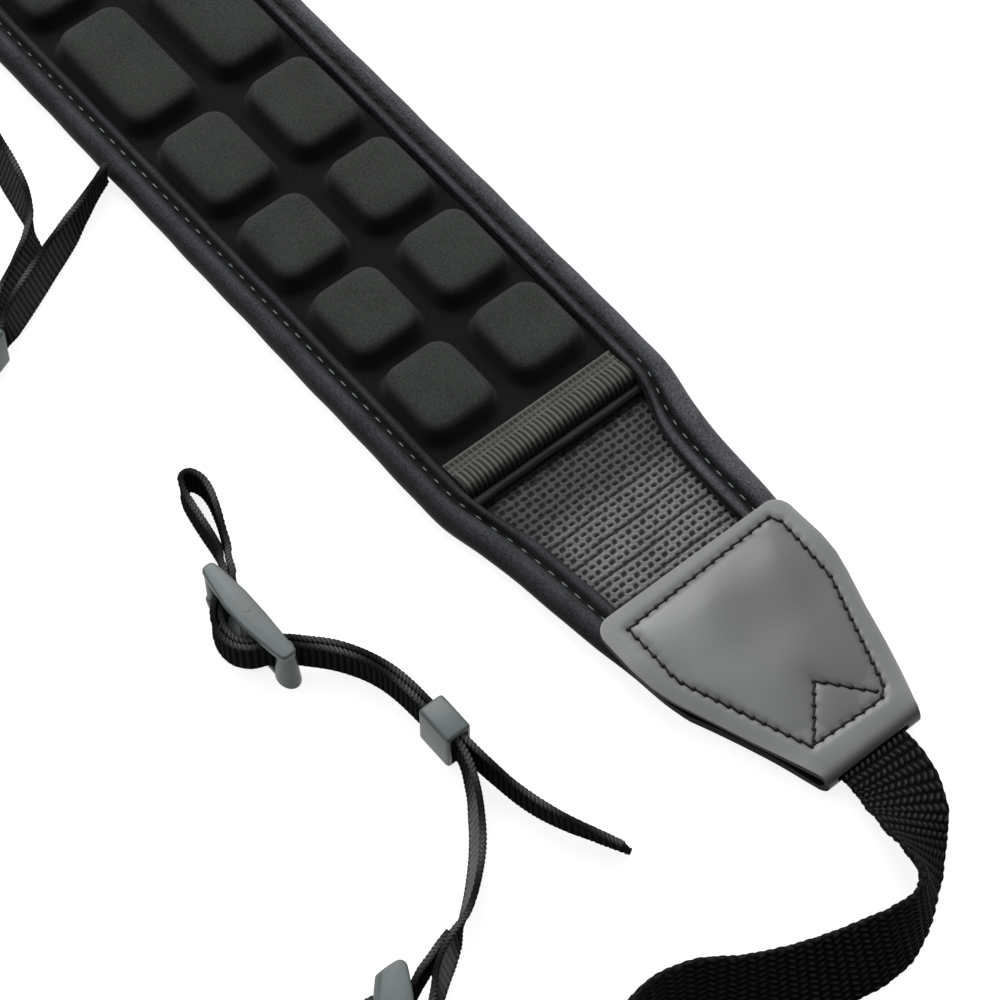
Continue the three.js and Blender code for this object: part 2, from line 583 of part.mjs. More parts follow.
function narrowStrapRows(end) {
  const half = LAYER_PITCH / 2;
  const sewn = placed(NARROW_LOOP, end.joiner, NARROW_LOOP_LIFT);
  const out = placed(besideRows(DOUBLED_ROWS, -half), end.slide, 0);
  const loop = placed(END_LOOP_ROWS, end.slide, 0);
  const back = placed(besideRows(DOUBLED_ROWS, half), end.slide, 0).reverse();
  return [...sewn, ...end.strand, ...out, ...loop, ...back, ...end.tail];
}

function planMatrix(frame) {
  const [ux, uy] = frame.uAxis;
  const [vx, vy] = frame.vAxis;
  return new THREE.Matrix4().set(ux, vx, 0, frame.x, uy, vy, 0, frame.y, 0, 0, 1, 0, 0, 0, 0, 1);
}

// A geometry moved from a piece's plan frame to the pad's frame, kept facing out.
function inPlace(geometry, frame) {
  const moved = mergeVertices(fromSolid(toSolid(geometry)), 1e-4);
  moved.applyMatrix4(planMatrix(frame));
  const { array } = moved.attributes.position;
  const index = Array.from(moved.index.array);
  const points = [];
  for (let i = 0; i < array.length; i += 3) points.push(new THREE.Vector3().fromArray(array, i));
  const triangles = [];
  for (let i = 0; i < index.length; i += 3) triangles.push(index.slice(i, i + 3));
  return closedGeometry(points, triangles);
}

// Grey moulded joiner: two rails, four posts, its roof stepped up at the wide end.
function joiner() {
  const { rail, foot, narrowRoof, wideRoof, roof, length, corner, riserFrom, riserTo } = JOINER;
  const plan = (from, to) => roundedRectangle(to - from, 2 * rail, corner, 2)
    .map(([u, v]) => [u + (from + to) / 2, v]);
  const posts = JOINER_POSTS.map(({ u, radius, wide }) => post(
    u, 0, radius, radius, foot / 2, (wide ? wideRoof : narrowRoof) + roof / 2,
  ));
  return join([
    slab(plan(0, length), 0, foot),
    slab(JOINER_NARROW_ROOF, narrowRoof, narrowRoof + roof),
    slab(plan(riserFrom, riserTo), narrowRoof, wideRoof + roof),
    slab(plan(riserFrom, length), wideRoof, wideRoof + roof),
    ...posts,
  ]);
}

// Grey moulded three-bar slide.
function triGlide() {
  const { foot, roof, roofAt } = SLIDE;
  const posts = SLIDE_POSTS.map(({ u, along, across }) => post(
    u, 0, along, across, foot / 2, roofAt + roof / 2,
  ));
  return join([slab(SLIDE_RAIL, 0, foot), slab(SLIDE_RAIL, roofAt, roofAt + roof), ...posts]);
}

// Grey moulded sleeve round the doubled strap.
function keeper() {
  const { along, across, tall, wall, corner } = KEEPER;
  const outline = roundedRectangle(across, tall, corner, 2);
  const shape = new THREE.Shape(outline.map(([v, z]) => new THREE.Vector2(v, z)));
  const opening = roundedRectangle(across - 2 * wall, tall - 2 * wall, 0.3, 1);
  shape.holes.push(new THREE.Path(opening.map(([v, z]) => new THREE.Vector2(v, z))));
  const geometry = new THREE.ExtrudeGeometry(shape, { depth: along, bevelEnabled: false });
  geometry.translate(0, tall / 2, -along / 2);
  // Shape x is across the strap and shape y is up; the prism runs along the strap.
  const turned = new THREE.Matrix4().set(0, 0, 1, KEEPER.u, 1, 0, 0, KEEPER.v, 0, 1, 0, 0, 0, 0, 0, 1);
  geometry.applyMatrix4(turned);
  return geometry;
}

addPiece('cushion', cushion(), 'foam');
addPiece('carrier_webbing', carrierWebbing(), 'weave');
addPiece('binding_right', binding(1), 'binding');
addPiece('binding_left', binding(-1), 'binding');
for (const [name, end] of Object.entries(ENDS)) {
  const turned = name === 'near' ? new THREE.Matrix4() : new THREE.Matrix4().makeRotationZ(Math.PI);
  addPiece(`end_tape_${name}`, acrossPrism(TAPE_SECTION, TAPE_HALF_LENGTH), 'tape', turned);
  addPiece(`end_lip_${name}`, acrossPrism(LIP_SECTION, LIP_HALF_LENGTH), 'lip', turned);
  addPiece(`leather_tab_${name}`, leatherTab(), 'leather', turned);
  const wideRows = [...end.wideRows, ...placed(WIDE_LOOP, end.joiner, WIDE_LOOP_LIFT)];
  addPiece(`wide_webbing_${name}`, ribbon(wideRows, WIDE, 2), 'webbing');
  addPiece(`connector_${name}`, inPlace(joiner(), end.joiner), 'plastic');
  addPiece(`narrow_strap_${name}`, ribbon(narrowStrapRows(end), NARROW, 2), 'webbing');
  addPiece(`keeper_${name}`, inPlace(keeper(), end.slide), 'plastic');
  addPiece(`tri_glide_${name}`, inPlace(triGlide(), end.slide), 'plastic');
}

export default strap;
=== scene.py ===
"""Looks of a padded binocular neck strap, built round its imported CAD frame.

Every piece lies where its CAD node lies: +X runs along the pad to the near leather tab, +Y across it
and +Z up. Tables are in millimetres, and meshes are in metres.
"""

import bmesh
import bpy
import numpy as np
from mathutils import Matrix, Vector


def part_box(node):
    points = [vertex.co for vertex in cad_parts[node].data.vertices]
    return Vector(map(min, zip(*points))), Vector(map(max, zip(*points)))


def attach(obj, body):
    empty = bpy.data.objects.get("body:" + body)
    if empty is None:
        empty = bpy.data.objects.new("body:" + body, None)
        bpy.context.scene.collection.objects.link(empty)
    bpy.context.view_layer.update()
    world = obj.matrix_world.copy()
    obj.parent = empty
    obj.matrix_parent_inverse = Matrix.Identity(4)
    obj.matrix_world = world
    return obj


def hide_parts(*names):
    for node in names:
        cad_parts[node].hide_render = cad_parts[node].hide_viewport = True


bl_info = {
    "name": "Padded binocular strap",
    "version": (1, 0, 0),
    "blender": (4, 5, 0),
    "location": "3D View > Sidebar > Strap",
    "description": "Builds the cushion, bindings, tabs, webbings and fittings of a padded neck strap",
    "category": "Add Mesh",
}

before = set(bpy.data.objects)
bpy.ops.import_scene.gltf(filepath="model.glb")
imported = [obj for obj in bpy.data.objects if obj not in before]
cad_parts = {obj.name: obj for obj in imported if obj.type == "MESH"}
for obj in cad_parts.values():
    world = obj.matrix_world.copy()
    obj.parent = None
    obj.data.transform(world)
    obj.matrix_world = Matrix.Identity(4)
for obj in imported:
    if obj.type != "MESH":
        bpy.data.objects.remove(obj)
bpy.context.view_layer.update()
MM = 0.001

# Cushion: cells by middle along the pad and length, alike at both ends and on both sides.
CELL_ROWS = ((0.0, 30.4), (30.5, 21.9), (55.2, 18.8), (78.2, 18.8), (100.9, 19.0))
# Rise of a cell by the distance out from its foot line: domed top, round shoulder, wall, soft foot.
CELL_PROFILE = (
    (-9.0, 5.2), (-4.0, 5.2), (-2.6, 5.12), (-1.5, 4.85), (-0.8, 4.25), (-0.35, 3.2), (0.0, 1.7),
    (0.3, 0.9), (0.9, 0.12), (1.6, 0.0),
)
# Fine mesh lines round a cell's wall: their reach, their step and the step elsewhere.
CELL_WALL_REACH = 2.3
CELL_FINE_STEP = 0.3
CELL_COARSE_STEP = 0.95
# Painted shade on the cushion: the share of a cell's rise that stays dark, and the share of the colour left
# in the channels.
CELL_PAINTED_SHADE_TO = 0.52
CHANNEL_PAINTED_SHADE = 0.06
# Height of the slow waves of the sheet between the cells.
CHANNEL_WAVE = 0.06
# Share by which a cell's top falls from its middle to its side.
CELL_DOME = 0.05

# Rolled binding by section: x, then outer, stitch and lip from the middle line, then heights.
BINDING_ROWS = (
    (119.0, 28.5, 23.8, 21.2, 4.0, 5.9, 0.0),
    (122.0, 28.4, 23.6, 21.1, 4.0, 5.9, 0.0),
    (125.0, 28.1, 22.9, 20.6, 3.5, 5.7, 0.0),
    (128.0, 27.5, 22.0, 19.6, 2.7, 5.5, 0.0),
    (132.0, 26.5, 20.9, 18.0, 2.0, 5.3, 0.0),
    (137.0, 25.6, 20.0, 16.8, 2.0, 5.1, 0.1),
    (147.0, 24.6, 19.2, 15.9, 2.0, 4.9, 0.9),
    (156.0, 24.1, 18.8, 15.5, 2.0, 4.8, 1.7),
    (165.0, 22.9, 18.1, 15.2, 2.0, 4.7, 1.7),
    (178.5, 20.6, 16.8, 14.6, 1.8, 4.0, 1.7),
)
# Thickness of the binding, width of its foot, where it ends, its mesh step and its section's corners.
BINDING_WALL = 1.15
BINDING_FOOT = 5.1
BINDING_END = BINDING_ROWS[-1][0]
BINDING_STEP = 0.8
BINDING_CORNERS = 19
# Depth of the sewn valley, width and height of its thread, and how far it lies below the flap's face.
BINDING_VALLEY = 0.32
BINDING_THREAD = (0.34, 0.36)
BINDING_THREAD_SUNK = 0.26
# Stitches to each side of the middle, and the half length of one as a share of the pitch.
BINDING_STITCHES = 48
BINDING_STITCH_SHARE = 0.23
# Painted light on the bindings, set apart for each side: the share of the colour kept on the crest and
# flap, and the share of the height where the lit crest starts.
BINDING_PAINTED_LIGHT = {"right": (1.0, 0.84), "left": (0.52, 0.97)}
# Where the right binding's thread starts to take the lighter thread colour that is painted for glints.
PAINTED_GLINT_FROM = 117.0

# Carrier webbing: distance from the bindings' outer edges, thickness, and where it ends under a tab.
CARRIER_INSET = 5.5
CARRIER_THICK = 1.6
CARRIER_END = 174.0
# The woven part that shows: its start, end, mesh step and pit depth, and the gap at its start, sunk and
# darkened by painted shade.
PANEL_START = 122.0
PANEL_END = 163.0
PANEL_STEP = 0.28
PANEL_DEPTH = 0.55
GAP_END = 125.4
GAP_DEPTH = 0.35
# Painted shade on the panel: the share of its colour kept by the distance from the gap, and by the distance
# from its side.
PANEL_PAINTED_SHADE = ((0.0, 9.5, 14.0, 22.0), (0.33, 0.38, 0.86, 1.0))
PANEL_SIDE_PAINTED_SHADE = ((4.2, 8.0), (0.7, 1.0))
# Half sizes along and across of the weave's pits and slits.
PIT_HALF = (0.52, 0.6)
SLIT_HALF = (0.36, 0.7)
# Where some slits start to run long, the length over which they grow, and by how much.
LONG_SLITS = (130.0, 14.0, 1.6)

# Ribbed tape and the thin strip at its foot: sections in x and z, and half lengths across the pad.
TAPE_SECTION = (
    (114.3, 4.0), (114.3, 4.75), (117.0, 4.95), (118.4, 5.6), (120.4, 5.75), (121.8, 5.0),
    (122.3, 3.7), (122.2, 2.0), (120.0, 2.0), (119.95, 4.0),
)
TAPE_HALF = 20.7
# The tape's open mesh: middles of its columns of holes, and a hole's half sizes and depth.
MESH_COLUMNS = (114.95, 116.2)
MESH_HOLE = (0.42, 0.4, 0.45)
# The tape's ribs: where they start, their depth, and the share of their colour kept along x from the start
# to the foot, a painted shade where the roll turns down.
RIB_START = 116.9
RIB_DEPTH = 0.42
RIB_PAINTED_SHADE = ((RIB_START, RIB_START + 0.5, 120.8, 122.2), (0.5, 1.0, 1.0, 0.12))
LIP_SECTION = ((122.7, 1.95), (124.3, 1.95), (124.35, 2.5), (123.7, 3.1), (122.75, 3.0))
LIP_HALF = 20.4

# Thickness of the leather, and the width of its softened edge.
LEATHER = 1.3
LEATHER_RIM = 0.4
# Leather tab, a sheet folded at its nose: x, half width, and the height of the upper leaf's
# underside in the middle and at the edge. The under leaf's rows are alike.
TAB_ROWS = (
    (160.5, 22.9, 7.0, 6.95), (164.0, 22.9, 7.05, 6.85), (172.0, 23.1, 7.0, 6.65),
    (176.5, 22.7, 6.8, 6.0), (181.0, 21.5, 6.5, 5.2), (188.0, 19.0, 6.1, 4.6),
    (196.0, 16.4, 5.6, 4.5), (203.0, 13.9, 5.25, 4.8), (208.4, 11.9, 5.1, 5.1),
)
TAB_UNDER_ROWS = (
    (160.5, 20.9, 0.0, 0.0), (164.0, 20.9, 0.0, 0.0), (178.0, 20.3, 0.0, 0.0),
    (183.5, 20.0, 0.1, 1.3), (191.0, 18.0, 0.4, 2.7), (201.0, 14.6, 0.9, 2.5),
    (208.4, 11.9, 1.2, 1.2),
)
# How far a leaf has fallen from its middle's height to its edge's, by the share of the half width.
TAB_EDGE_FALL = ((0.0, 0.0), (0.4, 0.0), (0.74, 0.1), (0.9, 0.62), (1.0, 1.0))
# Sideways bend of the tab: where it starts and ends along x, and how far it goes.
TAB_BEND = (162.0, 204.0, 1.7)
# Radius of the wide corners, and the mouth's half width and middle.
TAB_CORNER = 3.6
MOUTH_HALF = 8.5
MOUTH_MIDDLE = 1.3
# Stitch line on the tab: a closed round, then the point that ends it towards the nose.
TAB_SEAM = (
    (163.3, 18.0), (164.7, -17.8), (178.0, -17.7), (203.4, -7.3), (204.3, 9.2), (202.4, 11.3),
    (179.9, 18.8), (165.2, 19.3), (163.3, 18.0),
)
TAB_POINT = ((202.6, 9.4), (194.0, 1.8), (202.9, -6.2))
# How far a stitch's ends lie beside the seam.
STITCH_SLANT = 0.2
# A stitch and the knot at a hole: width, height and how far it stands over the leather.
TAB_STITCH = (0.52, 0.44, 0.14)
TAB_KNOT = (0.78, 0.6, 0.1)
# Swell of the leather inside the seam, outside it and in soft waves, and its reach from the seam.
TAB_SWELL = 0.75
TAB_MARGIN_SWELL = 0.16
TAB_WAVE = 0.22
SWELL_REACH = 2.6
# Depth and reach of the sewn valley along the round and along the point.
SEAM_VALLEY = (0.34, 0.7)
POINT_VALLEY = (0.28, 0.55)
# Painted light and shade on the tab: the nose darker by its angle as it turns down, the margin lighter
# towards its rim by its share of the width, and darker before the nose.
NOSE_PAINTED_SHADE = ((-0.6, 0.2, 0.9, 1.5), (0.0, 0.02, 0.24, 0.5))
MARGIN_PAINTED_LIGHT = ((0.94, 1.0), (0.7, 1.0))
MARGIN_END_PAINTED_SHADE = ((-2.4, 0.0), (1.0, 0.72))
UNDER_COLOUR = 0.6

# Webbing widths and thicknesses, and the distance between the doubled strap's layers.
WIDE = (16.0, 1.8)
NARROW = (8.0, 1.1)
LAYER_PITCH = 1.46
# Least width that a sheet may state, in metres; a narrow strap states its true area with it.
# Mesh steps along the webbings where the weave shows best and elsewhere, and across them.
WIDE_STEPS = {"near": (0.27, 0.62, 0.28), "far": (0.72, 0.72, 0.45)}
NARROW_STEPS = (0.26, 0.34, 0.42)
# Middle and reach of the stretch along a webbing where its weave shows best.
FINE_STRETCH = (72.0, 44.0)
# Depth of the webbings' weaves, and how much the tail's lower corner outruns the upper one.
WIDE_DEPTH = 0.5
NARROW_DEPTH = 0.24
TAIL_CUT = 0.8
TAIL_CUT_LENGTH = 3.0
# A webbing's woven edge: where it starts from the side, and the width over which it thickens.
EDGE_START = 1.3
EDGE_BLEND = 0.6
# How far up a face has to look before the painted sheen starts to show, and before it shows fully.
PAINTED_SHEEN_RANGE = (0.1, 0.3)
# Looks of the webbings: how much thicker the woven edges are than the middle, how fast painted shade
# darkens the colour from a crown into the hollows, the share of the colour left as painted shade on faces
# not turned up, the painted sheen added to faces that lean to the sky, and the length up to which it is
# added.
WIDE_LOOKS = (0.0, 4.0, 0.12, 0.0, 0.0)
NARROW_LOOKS = {"near": (0.42, 2.3, 0.4, 1.4, 110.0), "far": (0.42, 2.6, 0.68, 0.2, 400.0)}

# Routes: x, y, lean of the webbing's width from upright in degrees, lift of its lowest edge.
WIDE_NEAR_ROWS = (
    (180.0, 0.4, -90, 1.8), (195.0, 0.9, -90, 2.35), (206.0, 1.2, -90, 2.8),
    (212.4, 1.3, -90, 2.85), (217.5, 0.7, -88, 2.8), (222.5, -1.4, -79, 2.4),
    (227.4, -4.5, -56, 1.7), (233.0, -7.7, -32, 0.9), (237.7, -11.0, -13, 0.3),
    (240.4, -15.0, -11, 0.0), (241.3, -20.8, -22, 0.0), (240.3, -27.5, -31, 0.0),
    (238.1, -34.9, -32, 0.0), (235.1, -41.7, -28, 0.0), (231.2, -48.7, -25, 0.0),
    (227.0, -54.6, -24, 0.0), (224.5, -61.0, -18, 0.0), (223.7, -67.5, -6, 0.0),
    (225.0, -76.0, 0, 0.0), (229.5, -91.0, 0, 0.0), (235.5, -110.0, 0, 0.0),
    (241.0, -132.0, 0, 0.0), (243.0, -150.0, 0, 0.0), (240.0, -163.0, 0, 0.2),
    (231.5, -169.0, 0, 0.4), (223.0, -164.0, 0, 0.7), (219.5, -152.0, 0, 1.1),
    (219.0, -138.0, 0, 1.6),
)
WIDE_FAR_ROWS = (
    (-180.0, -0.4, 90, 1.8), (-195.0, -0.9, 90, 2.35), (-206.0, -1.2, 90, 2.8),
    (-213.0, -1.3, 90, 2.85), (-221.0, -2.0, 84, 2.4), (-229.0, -4.6, 70, 1.6),
    (-236.5, -9.6, 50, 0.7), (-241.5, -16.5, 28, 0.0), (-243.5, -26.0, 14, 0.0),
    (-241.5, -36.0, 8, 0.0), (-235.0, -46.0, 4, 0.0), (-224.0, -53.5, 0, 0.0),
    (-208.0, -57.0, 0, 0.0), (-180.0, -58.6, 0, 0.0), (-145.0, -60.0, 0, 0.2),
    (-110.0, -61.5, 0, 0.6), (-85.0, -61.8, 0, 1.2),
)
# Loops in the connector's plan frame: u, v and lean.
NARROW_LOOP = (
    (-6.2, 9.7, 6), (-4.2, 8.3, 6), (-1.6, 6.9, 3), (1.4, 5.1, 0), (4.7, 3.3, 0), (6.2, 0.6, 0),
    (6.6, -2.4, 0), (8.0, -4.6, 0), (10.2, -5.1, 0), (12.4, -4.2, 0), (13.4, -1.6, 0),
    (13.4, 1.6, 0), (12.2, 4.6, 0), (9.4, 6.9, 3), (5.0, 8.0, 8), (1.2, 8.7, 14), (-2.2, 9.7, 15),
    (-5.5, 11.0, 7),
)
WIDE_LOOP = (
    (46.0, -1.25, 0), (40.0, -1.35, 0), (34.0, -1.9, 0), (28.6, -3.3, 0), (24.6, -3.6, 0),
    (21.6, -2.4, 0), (20.7, 0.0, 0), (21.6, 2.4, 0), (24.6, 3.6, 0), (28.6, 3.0, 0),
    (33.0, 1.4, 0), (37.0, 0.85, 0), (42.0, 0.8, 0),
)
# Height of the lowest edge in those loops.
LOOP_LIFT = 2.15
# The doubled strap and its end loop in the slide's plan frame: u, v and lift.
DOUBLED_ROWS = (
    (-45.2, 14.5, 1.25), (-40.0, 14.4, 1.25), (-34.8, 14.25, 1.25), (-29.0, 14.0, 0.9),
    (-23.5, 13.2, 0.4), (-18.6, 11.3, 0.4), (-14.6, 8.4, 1.0), (-11.8, 5.4, 1.7),
    (-9.0, 2.8, 1.7), (-6.6, -0.3, 1.7), (-4.9, -3.2, 1.3), (-2.2, -4.8, 0.6), (1.0, -5.0, 0.5),
    (3.9, -3.9, 1.4), (5.9, -1.7, 2.0), (7.4, 0.9, 1.9), (9.6, 3.2, 1.9), (12.2, 4.2, 1.6),
)
END_LOOP_ROWS = (
    (15.0, 5.1, 0.9), (18.0, 5.9, 0.3), (22.4, 6.6, 0.0), (26.6, 7.2, 0.0), (30.4, 8.0, 0.0),
    (32.8, 9.4, 0.0), (32.7, 11.0, 0.0), (30.8, 12.0, 0.0), (28.0, 12.0, 0.0), (23.4, 10.6, 0.0),
    (18.4, 8.4, 0.3), (14.4, 6.6, 0.9),
)
# Where each end's pieces lie: plan frames by x, y, u axis and v axis, then the single strands.
ENDS = {
    "near": {
        "joiner": (189.3, -93.0, (0.769, -0.639), (0.639, 0.769)),
        "slide": (118.4, -70.4, (-1, 0), (0, 1)),
        "wide": WIDE_NEAR_ROWS,
        "strand": (
            (189.0, -76.2, -13, 0.9), (185.1, -71.2, -17, 0.3), (180.3, -66.3, -17, 0.0),
            (174.6, -61.9, -15, 0.1), (169.4, -58.7, -8, 0.5),
        ),
        "tail": (
            (169.4, -54.5, 0, 0.5), (176.0, -53.5, -3, 0.0), (181.0, -52.3, -5, 0.0),
            (186.0, -50.5, -8, 0.0), (191.0, -48.1, -13, 0.0), (196.8, -45.3, -18, 0.0),
        ),
    },
    "far": {
        "joiner": (-22.7, -35.9, (-0.84, -0.543), (0.543, -0.84)),
        "slide": (38.9, -116.0, (0.35, -0.937), (0.937, 0.35)),
        "wide": WIDE_FAR_ROWS,
        "strand": (
            (-7.6, -41.3, 8, 0.9), (-2.0, -42.6, 20, 0.3), (5.0, -44.2, 26, 0.0),
            (11.5, -45.7, 22, 0.0), (17.5, -47.7, 6, 0.0), (22.0, -50.4, -17, 0.0),
            (25.9, -55.0, -32, 0.0), (29.6, -61.0, -30, 0.2), (33.0, -65.6, -16, 0.8),
        ),
        "tail": (
            (35.2, -64.9, 16, 0.6), (32.9, -61.0, 20, 0.2), (29.9, -55.0, 20, 0.0),
            (27.2, -49.3, 19, 0.0), (24.9, -44.2, 13, 0.0), (21.9, -38.2, 1, 0.0),
            (18.8, -32.1, -7, 0.0), (17.25, -29.0, -8, 0.0),
        ),
    },
}

# Slide in its plan frame: outline, heights, and posts by place (u, v), half length and width, and taper.
SLIDE_OUTLINE = (
    (-13.0, -1.2), (-9.6, -1.9), (-3.0, -2.75), (3.0, -2.75), (9.6, -1.8), (12.0, -1.3),
    (12.0, 1.3), (9.6, 1.8), (3.0, 2.35), (-3.0, 2.35), (-9.6, 2.1), (-13.0, 2.0),
)
SLIDE_FOOT_OUTLINE = (
    (-12.2, -1.2), (-9.6, -0.9), (-6.0, -0.9), (-2.0, -2.6), (3.0, -3.0), (6.8, -3.0), (9.6, -2.0),
    (12.0, -1.3), (12.0, 1.3), (9.6, 1.8), (3.0, 2.35), (-3.0, 2.35), (-9.6, 1.9), (-12.2, 1.5),
)
SLIDE_FOOT = 1.6
SLIDE_ROOF = 10.3
SLIDE_TOP = 12.0
SLIDE_POSTS = ((-10.8, 0.8, 2.9, 2.2, 0.66), (0.0, 0.0, 1.5, 1.5, 1.0), (10.8, 0.0, 1.2, 1.3, 1.0))
# Radius and height of the mould's round mark on the slide.
MOULD_DOT = 0.9
MOULD_DOT_RISE = 0.07
# Angle in radians past which an edge of the mouldings stays sharp.
SHARP_ANGLE = 0.6
# Keeper: length, width, height and wall, and its place in the slide's plan frame.
KEEPER_SIZE = (8.6, 5.6, 10.5, 0.9)
KEEPER_ROUND = 0.75
KEEPER_AT = (-40.0, 14.4)
# Connector in its plan frame: skewed low roof, the plates and posts, and the step up to the wide end.
JOINER_OUTLINE = (
    (2.7, -2.6), (1.3, -0.5), (0.5, 1.1), (0.5, 2.1), (1.2, 2.9), (3.3, 3.4), (8.1, 4.2),
    (14.0, 4.2), (16.0, 3.2), (16.0, -3.2), (8.1, -3.1), (4.2, -2.9),
)
JOINER_BATTER = 1.3
JOINER_HALF = 3.2
JOINER_LENGTH = 27.0
JOINER_PLATE = 1.8
JOINER_ROOF = 10.5
JOINER_HIGH_ROOF = 18.7
JOINER_TOP = 20.5
JOINER_RISER = (12.6, 16.0)
JOINER_POSTS = ((2.9, 1.25, 11.6), (9.9, 1.5, 11.6), (17.0, 1.5, 19.6), (24.9, 1.6, 19.6))

# Turn of each end's pieces: the far end is the near one turned round.
TURNS = {"near": 1, "far": -1}

# Floor in metres: half its side, and how far it lies under the strap.
FLOOR_HALF = 6.0
FLOOR_DROP = 0.0003
# Light table glow, sky glow at its darkest and brightest, and the way to its brightest part.
FLOOR_GLOW = 0.84
SKY_GLOW = (0.1, 2.1)
SKY_WAY = (-0.6, 0.24, 0.78)
# Area lights in metres: name, place, aim, size and power.
LIGHTS = (
    ("key", (-0.65, 0.3, 1.0), (0.1, -0.03, 0), 0.7, 13.0),
    ("fill", (0.9, -0.9, 0.7), (0.12, -0.03, 0), 1.2, 0.3),
)
# Camera in millimetres.
CAMERA_AT = (389.76, -233.55, 570.61)
CAMERA_AIM = (124.63, -15.24, 0.0)
CAMERA_LENS = 126.0
CAMERA_SENSOR = 36.0


def linear(code):
    """Linear colour of an sRGB hex value."""
    parts = [int(code[k:k + 2], 16) / 255 for k in (0, 2, 4)]
    return [c / 12.92 if c <= 0.04045 else ((c + 0.055) / 1.055) ** 2.4 for c in parts]


def colour_prop(name, code, description):
    """A colour setting with an sRGB hex default."""
    return bpy.props.FloatVectorProperty(
        name=name, description=description, subtype="COLOR", size=3, min=0, max=1,
        default=linear(code),
    )


def length_prop(name, millimetres, description):
    """A length setting with a default in millimetres."""
    return bpy.props.FloatProperty(
        name=name, description=description, subtype="DISTANCE", unit="LENGTH", min=0,
        default=millimetres * MM,
    )


class StrapSizes(bpy.types.PropertyGroup):
    """Sizes that a user would change."""

    cell_width: length_prop("Cell width", 17.2, "Width of a foam cell at its foot")
    cell_column: length_prop("Cell column", 10.95, "Distance of a column of cells from the middle")
    cell_corner: length_prop("Cell corner", 4.6, "Radius of a cell's corners in plan")
    binding_pitch: length_prop("Binding stitch", 3.574, "Stitch length along the bindings")
    tab_pitch: length_prop("Tab stitch", 2.4, "Stitch length round the leather tabs")
    panel_row: length_prop("Panel row", 1.674, "Thread spacing of the panel along the strap")
    panel_column: length_prop("Panel column", 1.737, "Thread spacing of the panel across the strap")
    tape_rib: length_prop("Tape rib", 1.13, "Rib spacing of the end tapes")
    wide_row: length_prop("Wide weave row", 1.8, "Thread spacing along the wide webbing")
    wide_column: length_prop("Wide weave column", 1.3, "Thread spacing across the wide webbing")
    narrow_rib: length_prop("Narrow rib", 1.34, "Rib spacing along the narrow strap")


class StrapColours(bpy.types.PropertyGroup):
    """Colours that a user would change."""

    foam: colour_prop("Foam cloth", "252725", "Napped cloth over the moulded foam")
    binding: colour_prop("Binding", "35363a", "Rolled edge binding")
    panel: colour_prop("Panel", "5d5f5e", "Basket-weave panel on its crowns")
    tape: colour_prop("Tape", "494946", "Ribbed tape on its crowns")
    lip: colour_prop("Lip", "130f0e", "Thin strip at the tape's foot")
    leather: colour_prop("Leather", "494b4a", "Grain side of the leather tabs")
    flesh: colour_prop("Leather flesh", "0e0e0f", "Flesh side of the leather")
    edge: colour_prop("Leather edge", "141415", "Cut edge of the leather")
    webbing: colour_prop("Wide webbing", "2a2a29", "Wide webbing on its crowns")
    strap: colour_prop("Narrow strap", "505051", "Narrow strap on its crowns")
    plastic: colour_prop("Plastic", "3a4141", "Moulded slides, keepers and connectors")
    thread: colour_prop("Thread", "08090a", "Black sewing thread")
    # This thread colour is a painted highlight: lighter thread that stands for glints of light.
    glint: colour_prop("Worn thread", "535b5a", "Sewing thread of the bindings, polished by wear")
    floor: colour_prop("Floor", "808080", "Studio paper before the light table's glow")


def smoothstep(share):
    """A share from 0 to 1 eased so that it starts and ends level."""
    return share * share * (3 - 2 * share)


def smooth_table(rows, window, step):
    """A table's first column at even steps, and its other columns with their corners rounded."""
    table = np.array(rows, float)
    even = np.arange(table[0, 0], table[-1, 0] + step / 2, step)
    count = max(int(window / step) // 2, 1)
    kernel = np.hanning(2 * count + 3)[1:-1]
    smooth = []
    for column in table.T[1:]:
        padded = np.pad(np.interp(even, table[:, 0], column), count, mode="edge")
        smooth.append(np.convolve(padded, kernel / kernel.sum(), mode="valid"))
    return even, smooth


def hermite(start, leave, end, arrive, share):
    """Places between two points from the tangents there, at a share of the way."""
    rise = 3 * (end - start) - 2 * leave - arrive
    turn = 2 * (start - end) + leave + arrive
    return start + share * leave + share ** 2 * rise + share ** 3 * turn


def graded_lines(low, high, spots, near, fine, coarse):
    """Line places from low to high, fine within a distance of the given spots and coarse elsewhere."""
    line = np.linspace(low, high, 6000)
    away = np.abs(line[:, None] - np.array(spots)).min(axis=1)
    pace = np.where(away < near, 1 / fine, 1 / coarse)
    run = np.concatenate([[0], np.cumsum(0.5 * (pace[1:] + pace[:-1]) * np.diff(line))])
    return np.interp(np.linspace(0, run[-1], round(run[-1]) + 1), run, line)


def spline(points, at, tension=None):
    """Places on a smooth curve through points, counted in points; centripetal with no tension."""
    ends = (2 * points[0] - points[1], 2 * points[-1] - points[-2])
    whole = np.vstack([ends[0], points, ends[1]])
    first = np.clip(at.astype(int), 0, len(points) - 2)
    share = (at - first)[:, None]
    a, b, c, d = (whole[first + k] for k in range(4))
    if tension is None:
        ab, bc, cd = (np.sqrt(np.linalg.norm(q - p, axis=1))[:, None] for p, q in ((a, b), (b, c), (c, d)))
        leave = ((b - a) / ab - (c - a) / (ab + bc) + (c - b) / bc) * bc
        arrive = ((c - b) / bc - (d - b) / (bc + cd) + (d - c) / cd) * bc
    else:
        leave, arrive = tension * (c - a), tension * (d - b)
    return hermite(b, leave, c, arrive, share)


